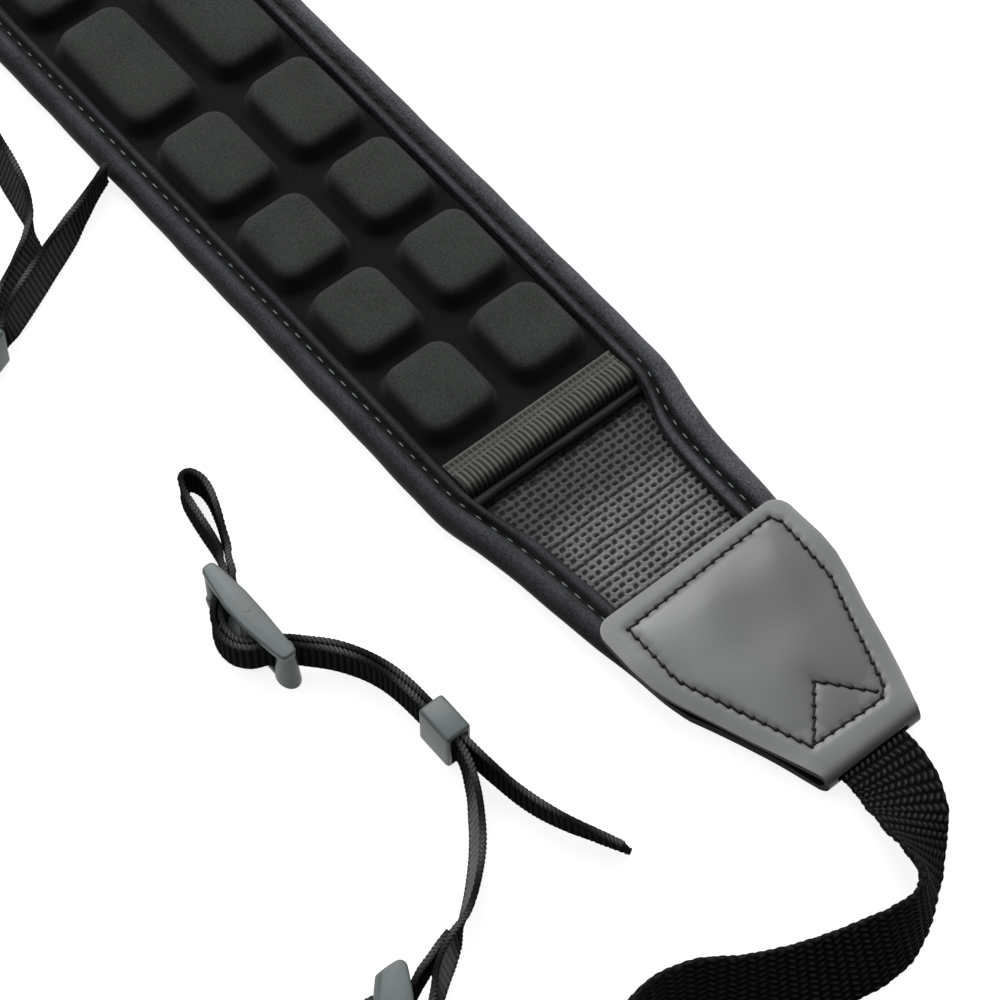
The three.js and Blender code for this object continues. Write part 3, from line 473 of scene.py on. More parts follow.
def closed_curve(corners, shares, tension):
    """Places on smooth closed curves through corners, at shares of a round, for many sections."""
    count = len(corners)
    at = shares * count
    first = np.floor(at).astype(int)
    share = (at - first)[:, None, None]
    a, b, c, d = (corners[(first + k) % count] for k in (-1, 0, 1, 2))
    return hermite(b, tension * (c - a), c, tension * (d - b), share)


def stacked(x, y, z):
    """Points of a grid from coordinates that may each be a line or a grid."""
    return np.stack(np.broadcast_arrays(x, y, z), axis=-1)


def new_piece(name, mesh):
    """An object for a mesh, linked to the scene."""
    piece = bpy.data.objects.new(name, mesh)
    bpy.context.scene.collection.objects.link(piece)
    return piece


def mesh_piece(name, bm):
    """An object from a bmesh, which is freed."""
    mesh = bpy.data.meshes.new(name)
    bm.to_mesh(mesh)
    bm.free()
    return new_piece(name, mesh)


def made_verts(made):
    """The vertices that a bmesh operator made."""
    return [item for item in made["geom"] if isinstance(item, bmesh.types.BMVert)]


def soften(bm, edges, size, segments):
    """Rounds edges of a bmesh."""
    bmesh.ops.bevel(
        bm, geom=edges, offset=size, offset_type="OFFSET", affect="EDGES", segments=segments,
        profile=0.5, clamp_overlap=True, material=-1,
    )


def net_piece(name, us, vs, place, tube=False):
    """A mesh from a grid whose points a function places, in millimetres.

    place takes the lines along both sides and gives the points and named marks for the material.
    A tube has its first and last row joined and its two ends filled.
    """
    columns, rows = len(us) - 1, len(vs) - 1
    bm = bmesh.new()
    bmesh.ops.create_grid(bm, x_segments=columns, y_segments=rows, size=0.5)
    mesh = bpy.data.meshes.new(name)
    bm.to_mesh(mesh)
    flat = np.empty(3 * len(mesh.vertices))
    mesh.vertices.foreach_get("co", flat)
    i = np.rint((flat[0::3] + 0.5) * columns).astype(int)
    j = np.rint((flat[1::3] + 0.5) * rows).astype(int)
    points, marks = place(us, vs)
    mesh.vertices.foreach_set("co", (points[i, j] * MM).ravel())
    for mark, values in marks.items():
        mesh.attributes.new(mark, "FLOAT", "POINT").data.foreach_set("value", values[i, j])
    bm.clear()
    bm.from_mesh(mesh)
    if tube:
        bmesh.ops.remove_doubles(bm, verts=bm.verts, dist=1e-7)
        rims = [edge for edge in bm.edges if edge.is_boundary]
        bmesh.ops.holes_fill(bm, edges=rims)
        for edge in rims:
            edge.smooth = False
    bmesh.ops.recalc_face_normals(bm, faces=bm.faces)
    for face in bm.faces:
        face.smooth = len(face.verts) == 4
    bm.to_mesh(mesh)
    bm.free()
    return new_piece(name, mesh)


def dress(piece, material, slot, *nodes):
    """Gives a piece its material, lets it ride on the strap and hides the CAD nodes it stands for."""
    piece.data.materials.append(material)
    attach(piece, "root")
    if nodes:
        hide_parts(*nodes)


def add_node(tree, kind, options=None, inputs=None):
    """Adds a node, sets its options, and sets or links its inputs."""
    node = tree.nodes.new(kind)
    for key, value in (options or {}).items():
        setattr(node, key, value)
    for key, value in (inputs or {}).items():
        if isinstance(value, bpy.types.NodeSocket):
            tree.links.new(value, node.inputs[key])
        else:
            node.inputs[key].default_value = value
    return node


def new_material(name, settings):
    """An empty material with its main shader set, its tree and its object coordinates."""
    material = bpy.data.materials.get(name)
    if material:
        bpy.data.materials.remove(material)
    material = bpy.data.materials.new(name)
    material.use_nodes = True
    tree = material.node_tree
    tree.nodes.clear()
    shader = add_node(tree, "ShaderNodeBsdfPrincipled", None, settings)
    add_node(tree, "ShaderNodeOutputMaterial", None, {"Surface": shader.outputs[0]})
    place = add_node(tree, "ShaderNodeTexCoord").outputs["Object"]
    return material, tree, shader, place


def finish_surface(tree, shader, height, strength, depth, colour=None):
    """Gives the main shader its colour and a fine relief, whose depth is in millimetres."""
    if colour is not None:
        tree.links.new(colour, shader.inputs["Base Color"])
    bump = add_node(tree, "ShaderNodeBump", None, {
        "Height": height, "Strength": strength, "Distance": depth * MM,
    })
    tree.links.new(bump.outputs[0], shader.inputs["Normal"])


def rgba(colour, gain=1.0):
    """A colour with its lightness scaled, as a node takes it."""
    return (*(min(c * gain, 1.0) for c in colour), 1.0)


def relief_and_shade_mark(tree):
    """The mark that a mesh carries for its material: the height of its weave together with painted light
    and shade.
    """
    return add_node(tree, "ShaderNodeAttribute", {"attribute_name": "relief_and_shade"}).outputs["Fac"]


def noise(tree, place, size, detail, roughness=0.5):
    """A noise whose grains have a size in millimetres."""
    return add_node(tree, "ShaderNodeTexNoise", None, {
        "Vector": place, "Scale": 1 / (size * MM), "Detail": detail, "Roughness": roughness,
    }).outputs["Fac"]


def blend(tree, share, colour, low, high=1.0):
    """A colour between two of its lightnesses, by a share."""
    return add_node(tree, "ShaderNodeMix", {"data_type": "RGBA"}, {
        "Factor": share, "A": rgba(colour, low), "B": rgba(colour, high),
    }).outputs["Result"]


def clouded(tree, colour, cloud, span, gains):
    """A colour whose lightness runs through gains as a noise runs through span."""
    gain = add_node(tree, "ShaderNodeMapRange", None, {
        "Value": cloud, "From Min": span[0], "From Max": span[1], "To Min": gains[0], "To Max": gains[1],
    }).outputs[0]
    return add_node(tree, "ShaderNodeVectorMath", {"operation": "SCALE"}, {
        0: colour, "Scale": gain,
    }).outputs[0]


def fibre_material(name, colour, settings, fibre, hollow=0.25, mottle=0.12, depth=0.05, stretch=1.0):
    """Cloth of spun fibres: dark in the hollows of its weave by painted shade, faintly mottled, fuzzy close
    to.

    fibre is the width of a fibre bundle in millimetres, and stretch how much longer it is along x.
    """
    material, tree, shader, place = new_material(name, settings)
    drawn = add_node(tree, "ShaderNodeMapping", None, {
        "Vector": place, "Scale": (1 / stretch, 1.0, 1.0),
    }).outputs[0]
    fuzz = noise(tree, drawn, 2 * fibre, 3.0, 0.6)
    cloud = noise(tree, place, 9.0, 3.0)
    soft = add_node(tree, "ShaderNodeMath", {"operation": "MULTIPLY_ADD"}, {
        0: cloud, 1: 0.35, 2: fuzz,
    }).outputs[0]
    # Painted shade: the colour drops towards the hollow share where the mark is low.
    woven = blend(tree, relief_and_shade_mark(tree), colour, hollow)
    tint = clouded(tree, woven, soft, (0.45, 0.9), (1 - mottle, 1 + mottle))
    finish_surface(tree, shader, fuzz, 0.5, depth, tint)
    return material


def foam_cloth(colours):
    """Napped polyester cloth moulded over foam: matt, made near black on the cell walls and in the channels
    by painted shade, finely speckled.
    """
    return fibre_material("napped_polyester_cloth", colours.foam, {
        "Roughness": 0.95, "Sheen Weight": 0.03, "Sheen Roughness": 0.6, "Specular IOR Level": 0.04,
    }, fibre=0.22, hollow=0.13, mottle=0.45, depth=0.14)


def binding_knit(colours):
    """Brushed nylon knit rolled over the edge: dark, with a painted light on its crest and painted shade
    that makes it nearly black in its seam, softly speckled.
    """
    return fibre_material("brushed_nylon_knit", colours.binding, {
        "Roughness": 0.6, "Sheen Weight": 0.05, "Sheen Roughness": 0.45, "Specular IOR Level": 0.06,
    }, fibre=0.18, hollow=0.04, mottle=0.8, depth=0.2, stretch=1.3)


def panel_weave(colours):
    """Polypropylene basket weave: grey crowns of flat yarn with holes between them that painted shade makes
    near black.
    """
    return fibre_material("polypropylene_basket_weave", colours.panel, {
        "Roughness": 0.6, "Specular IOR Level": 0.12,
    }, fibre=0.14, hollow=0.02, mottle=0.35, depth=0.05)


def tape_weave(colours):
    """Ribbed polyester tape: round grey ribs with slits between them that painted shade makes dark."""
    return fibre_material("ribbed_polyester_tape", colours.tape, {
        "Roughness": 0.65, "Specular IOR Level": 0.12,
    }, fibre=0.14, hollow=0.12, mottle=0.25, depth=0.05)


def lip_cloth(colours):
    """Folded strip of brownish coated cloth: smooth, dull, with painted shade that darkens it towards its
    foot.
    """
    return fibre_material("coated_cloth_strip", colours.lip, {
        "Roughness": 0.6, "Specular IOR Level": 0.15,
    }, fibre=0.3, hollow=0.2, mottle=0.2, depth=0.05, stretch=0.2)


def wide_nylon(colours):
    """Heavy black nylon webbing: small beads in rows, grey on their crowns by painted highlight and black
    between them by painted shade.
    """
    return fibre_material("herringbone_nylon_webbing", colours.webbing, {
        "Roughness": 0.5, "Specular IOR Level": 0.022,
    }, fibre=0.12, hollow=0.02, mottle=0.35, depth=0.05)


def narrow_polyester(colours):
    """Ribbed polyester strap: near-black matt cross ribs with painted shade in their grooves, a painted
    sheen where faces turn up, and a speckled edge.
    """
    return fibre_material("ribbed_polyester_strap", colours.strap, {
        "Roughness": 0.6, "Specular IOR Level": 0.0,
    }, fibre=0.14, hollow=0.04, mottle=0.4, depth=0.05)


def grain_leather(colours):
    """Smooth corrected-grain leather: even grey under the painted light and shade of its mesh mark,
    semi-gloss, with a fine pebble and soft clouds.
    """
    material, tree, shader, place = new_material("corrected_grain_leather", {
        "Roughness": 0.34, "Specular IOR Level": 0.3,
    })
    pebble = add_node(tree, "ShaderNodeTexVoronoi", {"feature": "SMOOTH_F1"}, {
        "Vector": place, "Scale": 1 / (0.5 * MM), "Smoothness": 0.8,
    }).outputs["Distance"]
    cloud = noise(tree, place, 14.0, 2.0)
    # The leather's colour follows the painted light and shade in the mesh mark.
    painted_light = blend(tree, relief_and_shade_mark(tree), colours.leather, 0.3, 1.75)
    tint = clouded(tree, painted_light, cloud, (0.3, 0.7), (0.92, 1.08))
    finish_surface(tree, shader, pebble, 0.2, 0.03, tint)
    return material


def leather_flesh(colours):
    """Flesh side of the leather: black and fibrous."""
    return fibre_material("dyed_leather_flesh", colours.flesh, {
        "Roughness": 0.9, "Specular IOR Level": 0.05,
    }, fibre=0.3, hollow=1.0, mottle=0.3, depth=0.1)


def leather_edge(colours):
    """Cut edge of the leather: a dull band, nearly black, with short fibres."""
    return fibre_material("dyed_leather_edge", colours.edge, {
        "Roughness": 0.7, "Specular IOR Level": 0.15,
    }, fibre=0.25, hollow=1.0, mottle=0.25, depth=0.08)


def moulded_plastic(colours):
    """Injection-moulded acetal: even mid grey, satin, with a faint spark-eroded texture."""
    material, tree, shader, place = new_material("moulded_acetal", {
        "Roughness": 0.38, "Specular IOR Level": 0.3,
    })
    spark = noise(tree, place, 0.35, 2.0)
    cloud = noise(tree, place, 4.0, 3.0)
    tint = clouded(tree, rgba(colours.plastic)[:3], cloud, (0.3, 0.7), (0.88, 1.1))
    finish_surface(tree, shader, spark, 0.25, 0.03, tint)
    return material


def sewing_thread(name, colour):
    """Twisted nylon sewing thread: a small strand with slanted plies and little shine."""
    material, tree, shader, place = new_material(name, {
        "Base Color": rgba(colour), "Roughness": 0.45, "Specular IOR Level": 0.15,
    })
    ply = add_node(tree, "ShaderNodeTexWave", {"bands_direction": "DIAGONAL"}, {
        "Vector": place, "Scale": 1 / (2.2 * MM), "Distortion": 1.0,
    }).outputs["Fac"]
    finish_surface(tree, shader, ply, 0.4, 0.05)
    return material


def floor_paper(colours):
    """Seamless studio paper on a light table: matt, and white because it glows from below."""
    material, tree, shader, place = new_material("studio_paper", {
        "Roughness": 0.95, "Specular IOR Level": 0.1, "Emission Color": (1, 1, 1, 1),
        "Emission Strength": FLOOR_GLOW,
    })
    tint = blend(tree, noise(tree, place, 40.0, 2.0), colours.floor, 0.98)
    tree.links.new(tint, shader.inputs["Base Color"])
    return material


def cell_rise(x, y, sizes):
    """Rise of the foam's cells over its sheet, in millimetres."""
    reach, (rise,) = smooth_table(CELL_PROFILE, window=0.45, step=0.03)
    corner = sizes.cell_corner / MM
    half = sizes.cell_width / MM / 2
    across = np.abs(np.abs(y) - sizes.cell_column / MM)
    total = np.zeros(np.broadcast(x, y).shape)
    for middle, length in CELL_ROWS:
        along = np.abs(np.abs(x) - middle)
        beyond, past = across - half + corner, along - length / 2 + corner
        outside = np.hypot(np.maximum(beyond, 0), np.maximum(past, 0))
        inside = np.minimum(np.maximum(beyond, past), 0)
        flat = np.interp(outside + inside - corner, reach, rise)
        dome = CELL_DOME * ((across / half) ** 3 + (2 * along / length) ** 3)
        total = np.maximum(total, flat * np.clip(1 - dome, 0.8, 1))
    return total


def build_cushion(sizes, colours):
    """The foam pad: one moulded sheet with domed cells and soft feet, closed under."""
    low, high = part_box("cushion")
    half_x, half_y = high.x / MM, high.y / MM
    bottom = low.z / MM
    tallest = max(rise for _, rise in CELL_PROFILE)
    top = high.z / MM - tallest
    ends = [side * (middle + half * length) for middle, length in CELL_ROWS
            for side in (-1, 1) for half in (-0.5, 0.5)]
    flanks = [side * (sizes.cell_column + half * sizes.cell_width) / MM
              for side in (-1, 1) for half in (-0.5, 0.5)]
    steps = CELL_WALL_REACH, CELL_FINE_STEP, CELL_COARSE_STEP
    xs = graded_lines(-half_x, half_x, ends, *steps)
    ys = graded_lines(-half_y, half_y, flanks, *steps)

    def place(us, vs):
        x, y = us[:, None], vs[None, :]
        rise = cell_rise(x, y, sizes)
        sag = CHANNEL_WAVE * np.sin(x / 9.0) * np.sin(y / 6.0 + x / 31.0)
        z = top + rise + np.where(rise > 0.1, 0.0, sag)
        # Painted shade: the cell walls darken below the shoulder and the channels stay near black.
        lit = np.clip((rise / tallest - CELL_PAINTED_SHADE_TO) / (1 - CELL_PAINTED_SHADE_TO), 0, 1)
        channel_shade = CHANNEL_PAINTED_SHADE * (1 - np.clip(rise / 0.5, 0, 1))
        return stacked(x, y, z), {"relief_and_shade": np.maximum(smoothstep(lit), channel_shade)}

    piece = net_piece("foam_cushion", xs, ys, place)
    bm = bmesh.new()
    bm.from_mesh(piece.data)
    rim = [edge for edge in bm.edges if edge.is_boundary]
    made = bmesh.ops.extrude_edge_only(bm, edges=rim)
    for vert in made_verts(made):
        vert.co.z = bottom * MM
    bmesh.ops.holes_fill(bm, edges=[edge for edge in bm.edges if edge.is_boundary])
    bmesh.ops.recalc_face_normals(bm, faces=bm.faces)
    bm.to_mesh(piece.data)
    bm.free()
    dress(piece, foam_cloth(colours), "foam", "cushion")


def stitch_row(name, spans):
    """Thread stitches laid between pairs of points, each a small round-ended grain of its own size."""
    bm = bmesh.new()
    for start, end, width, height in spans:
        run = end - start
        turn = run.to_track_quat("X", "Z").to_matrix().to_4x4()
        size = Matrix.Diagonal((run.length / 2, width / 2, height / 2, 1))
        spot = Matrix.Translation((start + end) / 2)
        bmesh.ops.create_uvsphere(
            bm, u_segments=8, v_segments=5, radius=1, matrix=Matrix.Scale(MM, 4) @ spot @ turn @ size,
        )
    for face in bm.faces:
        face.smooth = True
    return mesh_piece(name, bm)


def binding_table():
    """The binding's sizes by x over the whole length, with the bends rounded."""
    rows = [(-row[0], *row[1:]) for row in reversed(BINDING_ROWS)] + list(BINDING_ROWS)
    return smooth_table(rows, window=7.0, step=0.5)


def binding_section(outer, stitch, lip, under, crown):
    """Corners of the rolled binding's section as distance from the middle line and height."""
    wall, foot = BINDING_WALL, BINDING_FOOT
    zero = 0 * outer
    return np.stack([np.stack(corner, axis=-1) for corner in (
        (lip, under + wall - 0.35), (lip + 0.55, under + wall + 0.2),
        (lip + 0.55 * (stitch - lip), under + wall + 0.35), (stitch, under + wall - 0.35),
        (stitch + 1.2, crown - 0.6), (outer - 2.5, crown), (outer - 0.9, crown - 0.9),
        (outer, 0.5 * crown), (outer - 0.45, 0.8 + zero), (outer - 1.6, zero), (outer - foot, zero),
        (outer - foot, wall + zero), (outer - 2.0, wall + 0.1 + zero),
        (outer - wall - 0.1, 0.45 * crown), (outer - wall - 0.55, crown - 1.75),
        (outer - 2.6, crown - wall - 0.1), (stitch + 1.7, crown - wall - 0.4),
        (stitch + 0.8, under + 0.05), (lip, under),
    )])


def binding_spans(side, pitch):
    """Stitches along one binding: thread painted lighter for glints of light, and dull thread."""
    even, columns = binding_table()
    spans = {"painted_glint": [], "dull": []}
    for number in range(-BINDING_STITCHES, BINDING_STITCHES):
        middle = number + 0.5
        reach = BINDING_STITCH_SHARE + 0.04 * np.sin(12.9 * number)
        spot = []
        for along in ((middle - reach) * pitch, (middle + reach) * pitch):
            _, stitch, _, under, _, lift = (np.interp(along, even, c) for c in columns)
            height = under + BINDING_WALL - BINDING_THREAD_SUNK + lift + 0.06 * np.sin(7.3 * number)
            spot.append(Vector((along, side * stitch, height)))
        # Painted glints: the left thread, and the right one near the tabs, get the lighter thread colour.
        shows = side < 0 or abs(middle) * pitch > PAINTED_GLINT_FROM
        spans["painted_glint" if shows else "dull"].append((*spot, *BINDING_THREAD))
    return spans


def build_bindings(sizes, colours):
    """The two rolled bindings with their sewn valley, and the thread in it."""
    even, columns = binding_table()
    pitch = sizes.binding_pitch / MM
    cloth = binding_knit(colours)
    threads = {
        "painted_glint": sewing_thread("painted_glint_binding_thread", colours.glint),
        "dull": sewing_thread("dull_binding_thread", colours.thread),
    }
    xs = np.linspace(-BINDING_END, BINDING_END, round(2 * BINDING_END / BINDING_STEP) + 1)
    round_the_section = np.linspace(0, 1, 3 * BINDING_CORNERS + 1)
    for name, side in (("right", 1), ("left", -1)):
        painted_light_share, crest = BINDING_PAINTED_LIGHT[name]

        def place(us, vs):
            outer, stitch, lip, under, crown, lift = (np.interp(us, even, c) for c in columns)
            wobble = 0.12 * np.sin(us / 5.3 + side) + 0.1 * np.sin(us / 2.1)
            corners = binding_section(outer + 0.5 * wobble, stitch, lip + 0.8 * wobble, under, crown)
            curve = closed_curve(corners, vs, tension=0.42).transpose(1, 0, 2)
            y, z = curve[..., 0], np.maximum(curve[..., 1], 0.0)
            upper = z > (under + 0.6 * BINDING_WALL)[:, None]
            off = y - stitch[:, None]
            pucker = 0.7 + 0.3 * np.cos(2 * np.pi * us / pitch)[:, None]
            z = z - BINDING_VALLEY * np.clip(1 - off ** 2, 0, 1) * upper * pucker
            # Painted light and shade: the crest lit, the roll's outer side and the seam darkened, the flap
            # darkened towards the seam and at the lip's edge, and the faces beneath kept dark.
            roll = np.interp(off, [0.4, 1.3], [0.0, painted_light_share])
            roll = roll * np.interp(z / crown[:, None], [0.3, crest - 0.25, crest], [0.06, 0.35, 1.0])
            flap = np.interp(off, [-1.9, -0.7], [0.85 * painted_light_share, 0.0])
            rim = np.interp(y - lip[:, None], [0.1, 0.7], [0.0, 1.0])
            relief_and_shade = np.where(upper, np.where(off > 0, roll, flap * rim), 0.15)
            return stacked(us[:, None], side * y, z + lift[:, None]), {"relief_and_shade": relief_and_shade}

        piece = net_piece(f"binding_roll_{name}", xs, round_the_section, place, tube=True)
        dress(piece, cloth, "binding", f"binding_{name}")

        for kind, spans in binding_spans(side, pitch).items():
            if spans:
                dress(stitch_row(f"{kind}_stitches_{name}", spans), threads[kind], "binding")


def panel_relief(x, y, sizes):
    """Basket weave: pits with a raised middle and short slits by turns, in brick order, some slits long."""
    row, column = sizes.panel_row / MM, sizes.panel_column / MM
    along = (x + 0.1 * np.sin(y / 3.7 + x / 5.0)) / row
    number = np.floor(along)
    from_row = (along - number - 0.5) * row
    across = y / (2 * column) + 0.5 * (number % 2) + 0.02 * np.sin(5 * number)
    pit_number = np.rint(across)
    from_pit = (across - pit_number) * 2 * column + 0.3 * from_row
    chance = np.sin(91.7 * pit_number + 37.3 * number)
    wide = PIT_HALF[1] + 0.1 * chance
    pit = (np.abs(from_row + 0.08 * chance) / PIT_HALF[0]) ** 3 + (np.abs(from_pit) / wide) ** 3
    from_slit = (across - np.floor(across) - 0.5) * 2 * column - 0.4 * from_row
    start, growth, longer = LONG_SLITS
    long_row = np.clip(np.sin(1.7 * number + 0.11 * y) - 0.3, 0, 1)
    slit_half = SLIT_HALF[1] + longer * long_row * np.clip((x - start) / growth, 0.1, 1)
    slit = ((from_row - 0.05) / SLIT_HALF[0]) ** 2 + (from_slit / slit_half) ** 2
    hole = np.clip(1.5 - pit, 0, 1)
    hole = hole - 0.06 * np.clip(1 - pit / 0.3, 0, 1) * (from_row > -0.25)
    hole = np.maximum(hole, np.clip(1.5 - slit, 0, 1))
    # The crowns rise and fall, and their colour with them as a painted shade of rounded yarn.
    crown = 0.8 + 0.2 * np.cos(2 * np.pi * y / column) * np.cos(2 * np.pi * along)
    return crown * (1 - hole)


def build_carrier(sizes, colours):
    """The webbing base from tab to tab: woven where it shows, plain under the cushion and tabs."""
    even, columns = binding_table()
    shown = np.arange(PANEL_START, PANEL_END, PANEL_STEP)
    near = np.concatenate([shown, np.linspace(PANEL_END, CARRIER_END, 6)])
    xs = np.concatenate([-near[::-1], np.linspace(-PANEL_START, PANEL_START, 32)[1:-1], near])
    top = np.linspace(-1, 1, round(2 * (BINDING_ROWS[3][1] - CARRIER_INSET) / PANEL_STEP))
    under = np.linspace(1, -1, 16)
    shares = np.concatenate([top, under, [-1]])
    heights = np.concatenate([np.ones(len(top)), np.zeros(len(under)), [1]])

    def place(us, vs):
        x = us[:, None]
        half = np.interp(x, even, columns[0]) - CARRIER_INSET
        lift = np.interp(x, even, columns[5])
        y = shares[None, :] * half
        height = heights[None, :]
        woven = (np.abs(x) > PANEL_START + 1) & (height > 0.5)
        # Painted shade: the panel darkens in the gap by the lip, towards the gap and towards its sides, and
        # in the weave's holes.
        ragged = GAP_END + 0.45 * np.sin(1.3 * y) + 0.35 * np.sin(3.1 * y + 1)
        gap = np.clip((np.abs(x) - ragged) / 1.6, 0, 1)
        painted_shade_share = np.interp(np.abs(x) - GAP_END, *PANEL_PAINTED_SHADE)
        painted_shade_share = painted_shade_share * np.interp(half - np.abs(y), *PANEL_SIDE_PAINTED_SHADE)
        weave = panel_relief(np.abs(x), y, sizes)
        relief_and_shade = np.where(woven, weave * painted_shade_share * (0.03 + 0.97 * gap), 0.5)
        sunk = np.where(woven, PANEL_DEPTH * (1 - weave) + GAP_DEPTH * (1 - gap), 0.0)
        z = height * CARRIER_THICK + lift - sunk
        return stacked(x, y, z), {"relief_and_shade": relief_and_shade}

    piece = net_piece("carrier_weave", xs, shares, place, tube=True)
    dress(piece, panel_weave(colours), "weave", "carrier_webbing")


def build_tapes(sizes, colours):
    """The ribbed tape over each end of the cushion and the thin strip at its foot."""
    rib = sizes.tape_rib / MM
    tape_cloth, lip = tape_weave(colours), lip_cloth(colours)
    section = np.array(TAPE_SECTION)[:, None, :]
    strip = np.array(LIP_SECTION)[:, None, :]
    tape_lines = np.linspace(-TAPE_HALF, TAPE_HALF, round(2 * TAPE_HALF / rib * 8) + 1)
    lip_lines = np.linspace(-LIP_HALF, LIP_HALF, 91)
    for name, turn in TURNS.items():
        def place_tape(us, vs):
            y = us[:, None]
            curve = closed_curve(section, vs, tension=0.4)[:, 0, :]
            x, z = curve[None, :, 0], curve[None, :, 1]
            upper = z > 2.6
            share = (y / rib + 0.06 * np.sin(y * 1.1)) % 1.0 - 0.5
            ribs = (0.5 + 0.5 * np.cos(2 * np.pi * share)) ** 0.85
            holes = np.zeros(np.broadcast(x, y).shape)
            hole_x, hole_y, hole_depth = MESH_HOLE
            for column in MESH_COLUMNS:
                spot = np.maximum(np.abs(x - column) / hole_x, (0.5 - np.abs(share)) * rib / hole_y)
                holes = np.maximum(holes, np.clip((1.25 - spot) / 0.5, 0, 1))
            open_part = x < RIB_START
            # Painted shade: the mesh holes, the slits between ribs, the roll's two ends and the faces
            # beneath are darkened.
            relief_and_shade = np.where(upper, np.where(open_part, 0.9 - 0.9 * holes, ribs), 0.3)
            relief_and_shade = relief_and_shade * np.where(open_part, 1.0, np.interp(x, *RIB_PAINTED_SHADE))
            sunk = np.where(open_part, hole_depth * holes, RIB_DEPTH * (1 - ribs))
            z = z - np.where(upper, sunk, 0.0)
            x = x - np.where(x > 121.2, 0.3 * (1 - ribs), 0.0)
            return stacked(turn * x, turn * y, z), {"relief_and_shade": relief_and_shade}

        def place_lip(us, vs):
            y = us[:, None]
            curve = closed_curve(strip, vs, tension=0.4)[:, 0, :]
            wave = 0.12 * np.sin(y / 4.1) + 0.08 * np.sin(y / 1.7)
            x = curve[None, :, 0] + wave * (curve[None, :, 0] > 123)
            z = curve[None, :, 1] + 0.5 * wave * (curve[None, :, 1] > 2.6)
            # Painted shade: darker towards the foot.
            relief_and_shade = np.clip((z - 2.2) / 0.8, 0, 1)
            return stacked(turn * x, turn * y, z), {"relief_and_shade": relief_and_shade}

        tape = net_piece(f"ribbed_tape_{name}", tape_lines, np.linspace(0, 1, 53), place_tape, tube=True)
        dress(tape, tape_cloth, "tape", f"end_tape_{name}")
        edge = net_piece(f"lip_strip_{name}", lip_lines, np.linspace(0, 1, 31), place_lip, tube=True)
        dress(edge, lip, "lip", f"end_lip_{name}")


def tab_half(x, rows):
    """Half the tab's width at x, with the wide corners rounded."""
    half = np.interp(x, [r[0] for r in rows], [r[1] for r in rows])
    into = np.clip((x - rows[0][0]) / TAB_CORNER, 0, 1)
    return half - TAB_CORNER * (1 - np.sqrt(1 - (1 - into) ** 2))


def leaf_height(x, share, rows):
    """Height of a leaf's underside at x and a share of its half width."""
    even, (_, middle, edge) = smooth_table(rows, window=6.0, step=0.5)
    fall_at, (fall,) = smooth_table(TAB_EDGE_FALL, window=0.12, step=0.01)
    drop = np.interp(np.abs(share), fall_at, fall)
    mid, rim = np.interp(x, even, middle), np.interp(x, even, edge)
    return mid + (rim - mid) * drop


def tab_bend(x):
    """Sideways bend of the tab towards its nose."""
    start, end, bend = TAB_BEND
    return bend * smoothstep(np.clip((x - start) / (end - start), 0, 1))


def seam_distance(x, y, line):
    """Distance of points from a stitch line, the run along it to the nearest place, and a soft nearness."""
    best = np.full(np.broadcast(x, y).shape, 1e6)
    run = np.zeros(best.shape)
    near = np.zeros(best.shape)
    before = 0.0
    for (ax, ay), (bx, by) in zip(line[:-1], line[1:]):
        dx, dy = bx - ax, by - ay
        length = np.hypot(dx, dy)
        share = np.clip(((x - ax) * dx + (y - ay) * dy) / length ** 2, 0, 1)
        away = np.hypot(x - ax - share * dx, y - ay - share * dy)
        run = np.where(away < best, before + share * length, run)
        best = np.minimum(best, away)
        near += np.exp(-away / SWELL_REACH)
        before += length
    return best, run, near


def inside_seam(x, y, line):
    """Whether points lie inside a closed stitch line."""
    odd = np.zeros(np.broadcast(x, y).shape, bool)
    for (ax, ay), (bx, by) in zip(line[:-1], line[1:]):
        crosses = (ay > y) != (by > y)
        slope = (bx - ax) / (by - ay + 1e-9)
        odd ^= crosses & (x < ax + (y - ay) * slope)
    return odd


def tab_swell(x, y, pitch):
    """Swell of the leather inside its seam and the sewn valley, and how deep a point lies in it."""
    away, run, near = seam_distance(x, y, TAB_SEAM)
    away_point, run_point, near_point = seam_distance(x, y, TAB_POINT)
    inner = inside_seam(x, y, TAB_SEAM)
    cushion = TAB_SWELL * np.clip(1 - near - 0.6 * near_point, 0, 1)
    swell = np.where(inner, cushion, TAB_MARGIN_SWELL * (1 - np.exp(-away)))
    soft = np.sin(x / 4.3 + y / 7.0 + 0.6) * np.sin(y / 5.2 - x / 17.0 - 0.4)
    swell = swell + TAB_WAVE * soft * np.clip(away / 6, 0, 1) * inner
    valleys = []
    for (depth, reach), off, at in ((SEAM_VALLEY, away, run), (POINT_VALLEY, away_point, run_point)):
        pucker = 0.75 + 0.25 * np.cos(2 * np.pi * at / pitch)
        valleys.append(depth * np.exp(-(off / reach) ** 2) * pucker)
    valley = np.maximum(*valleys)
    return swell - valley, valley


def tab_surface(x, y, pitch):
    """Height of the upper leaf's outer face, and how deep a point lies in the sewn valley."""
    share = (y - tab_bend(x)) / tab_half(x, TAB_ROWS)
    swell, valley = tab_swell(x, y, pitch)
    fade = np.clip((TAB_ROWS[-1][0] - x) / 3.0, 0, 1)
    return leaf_height(x, share, TAB_ROWS) + LEATHER + swell * fade, valley


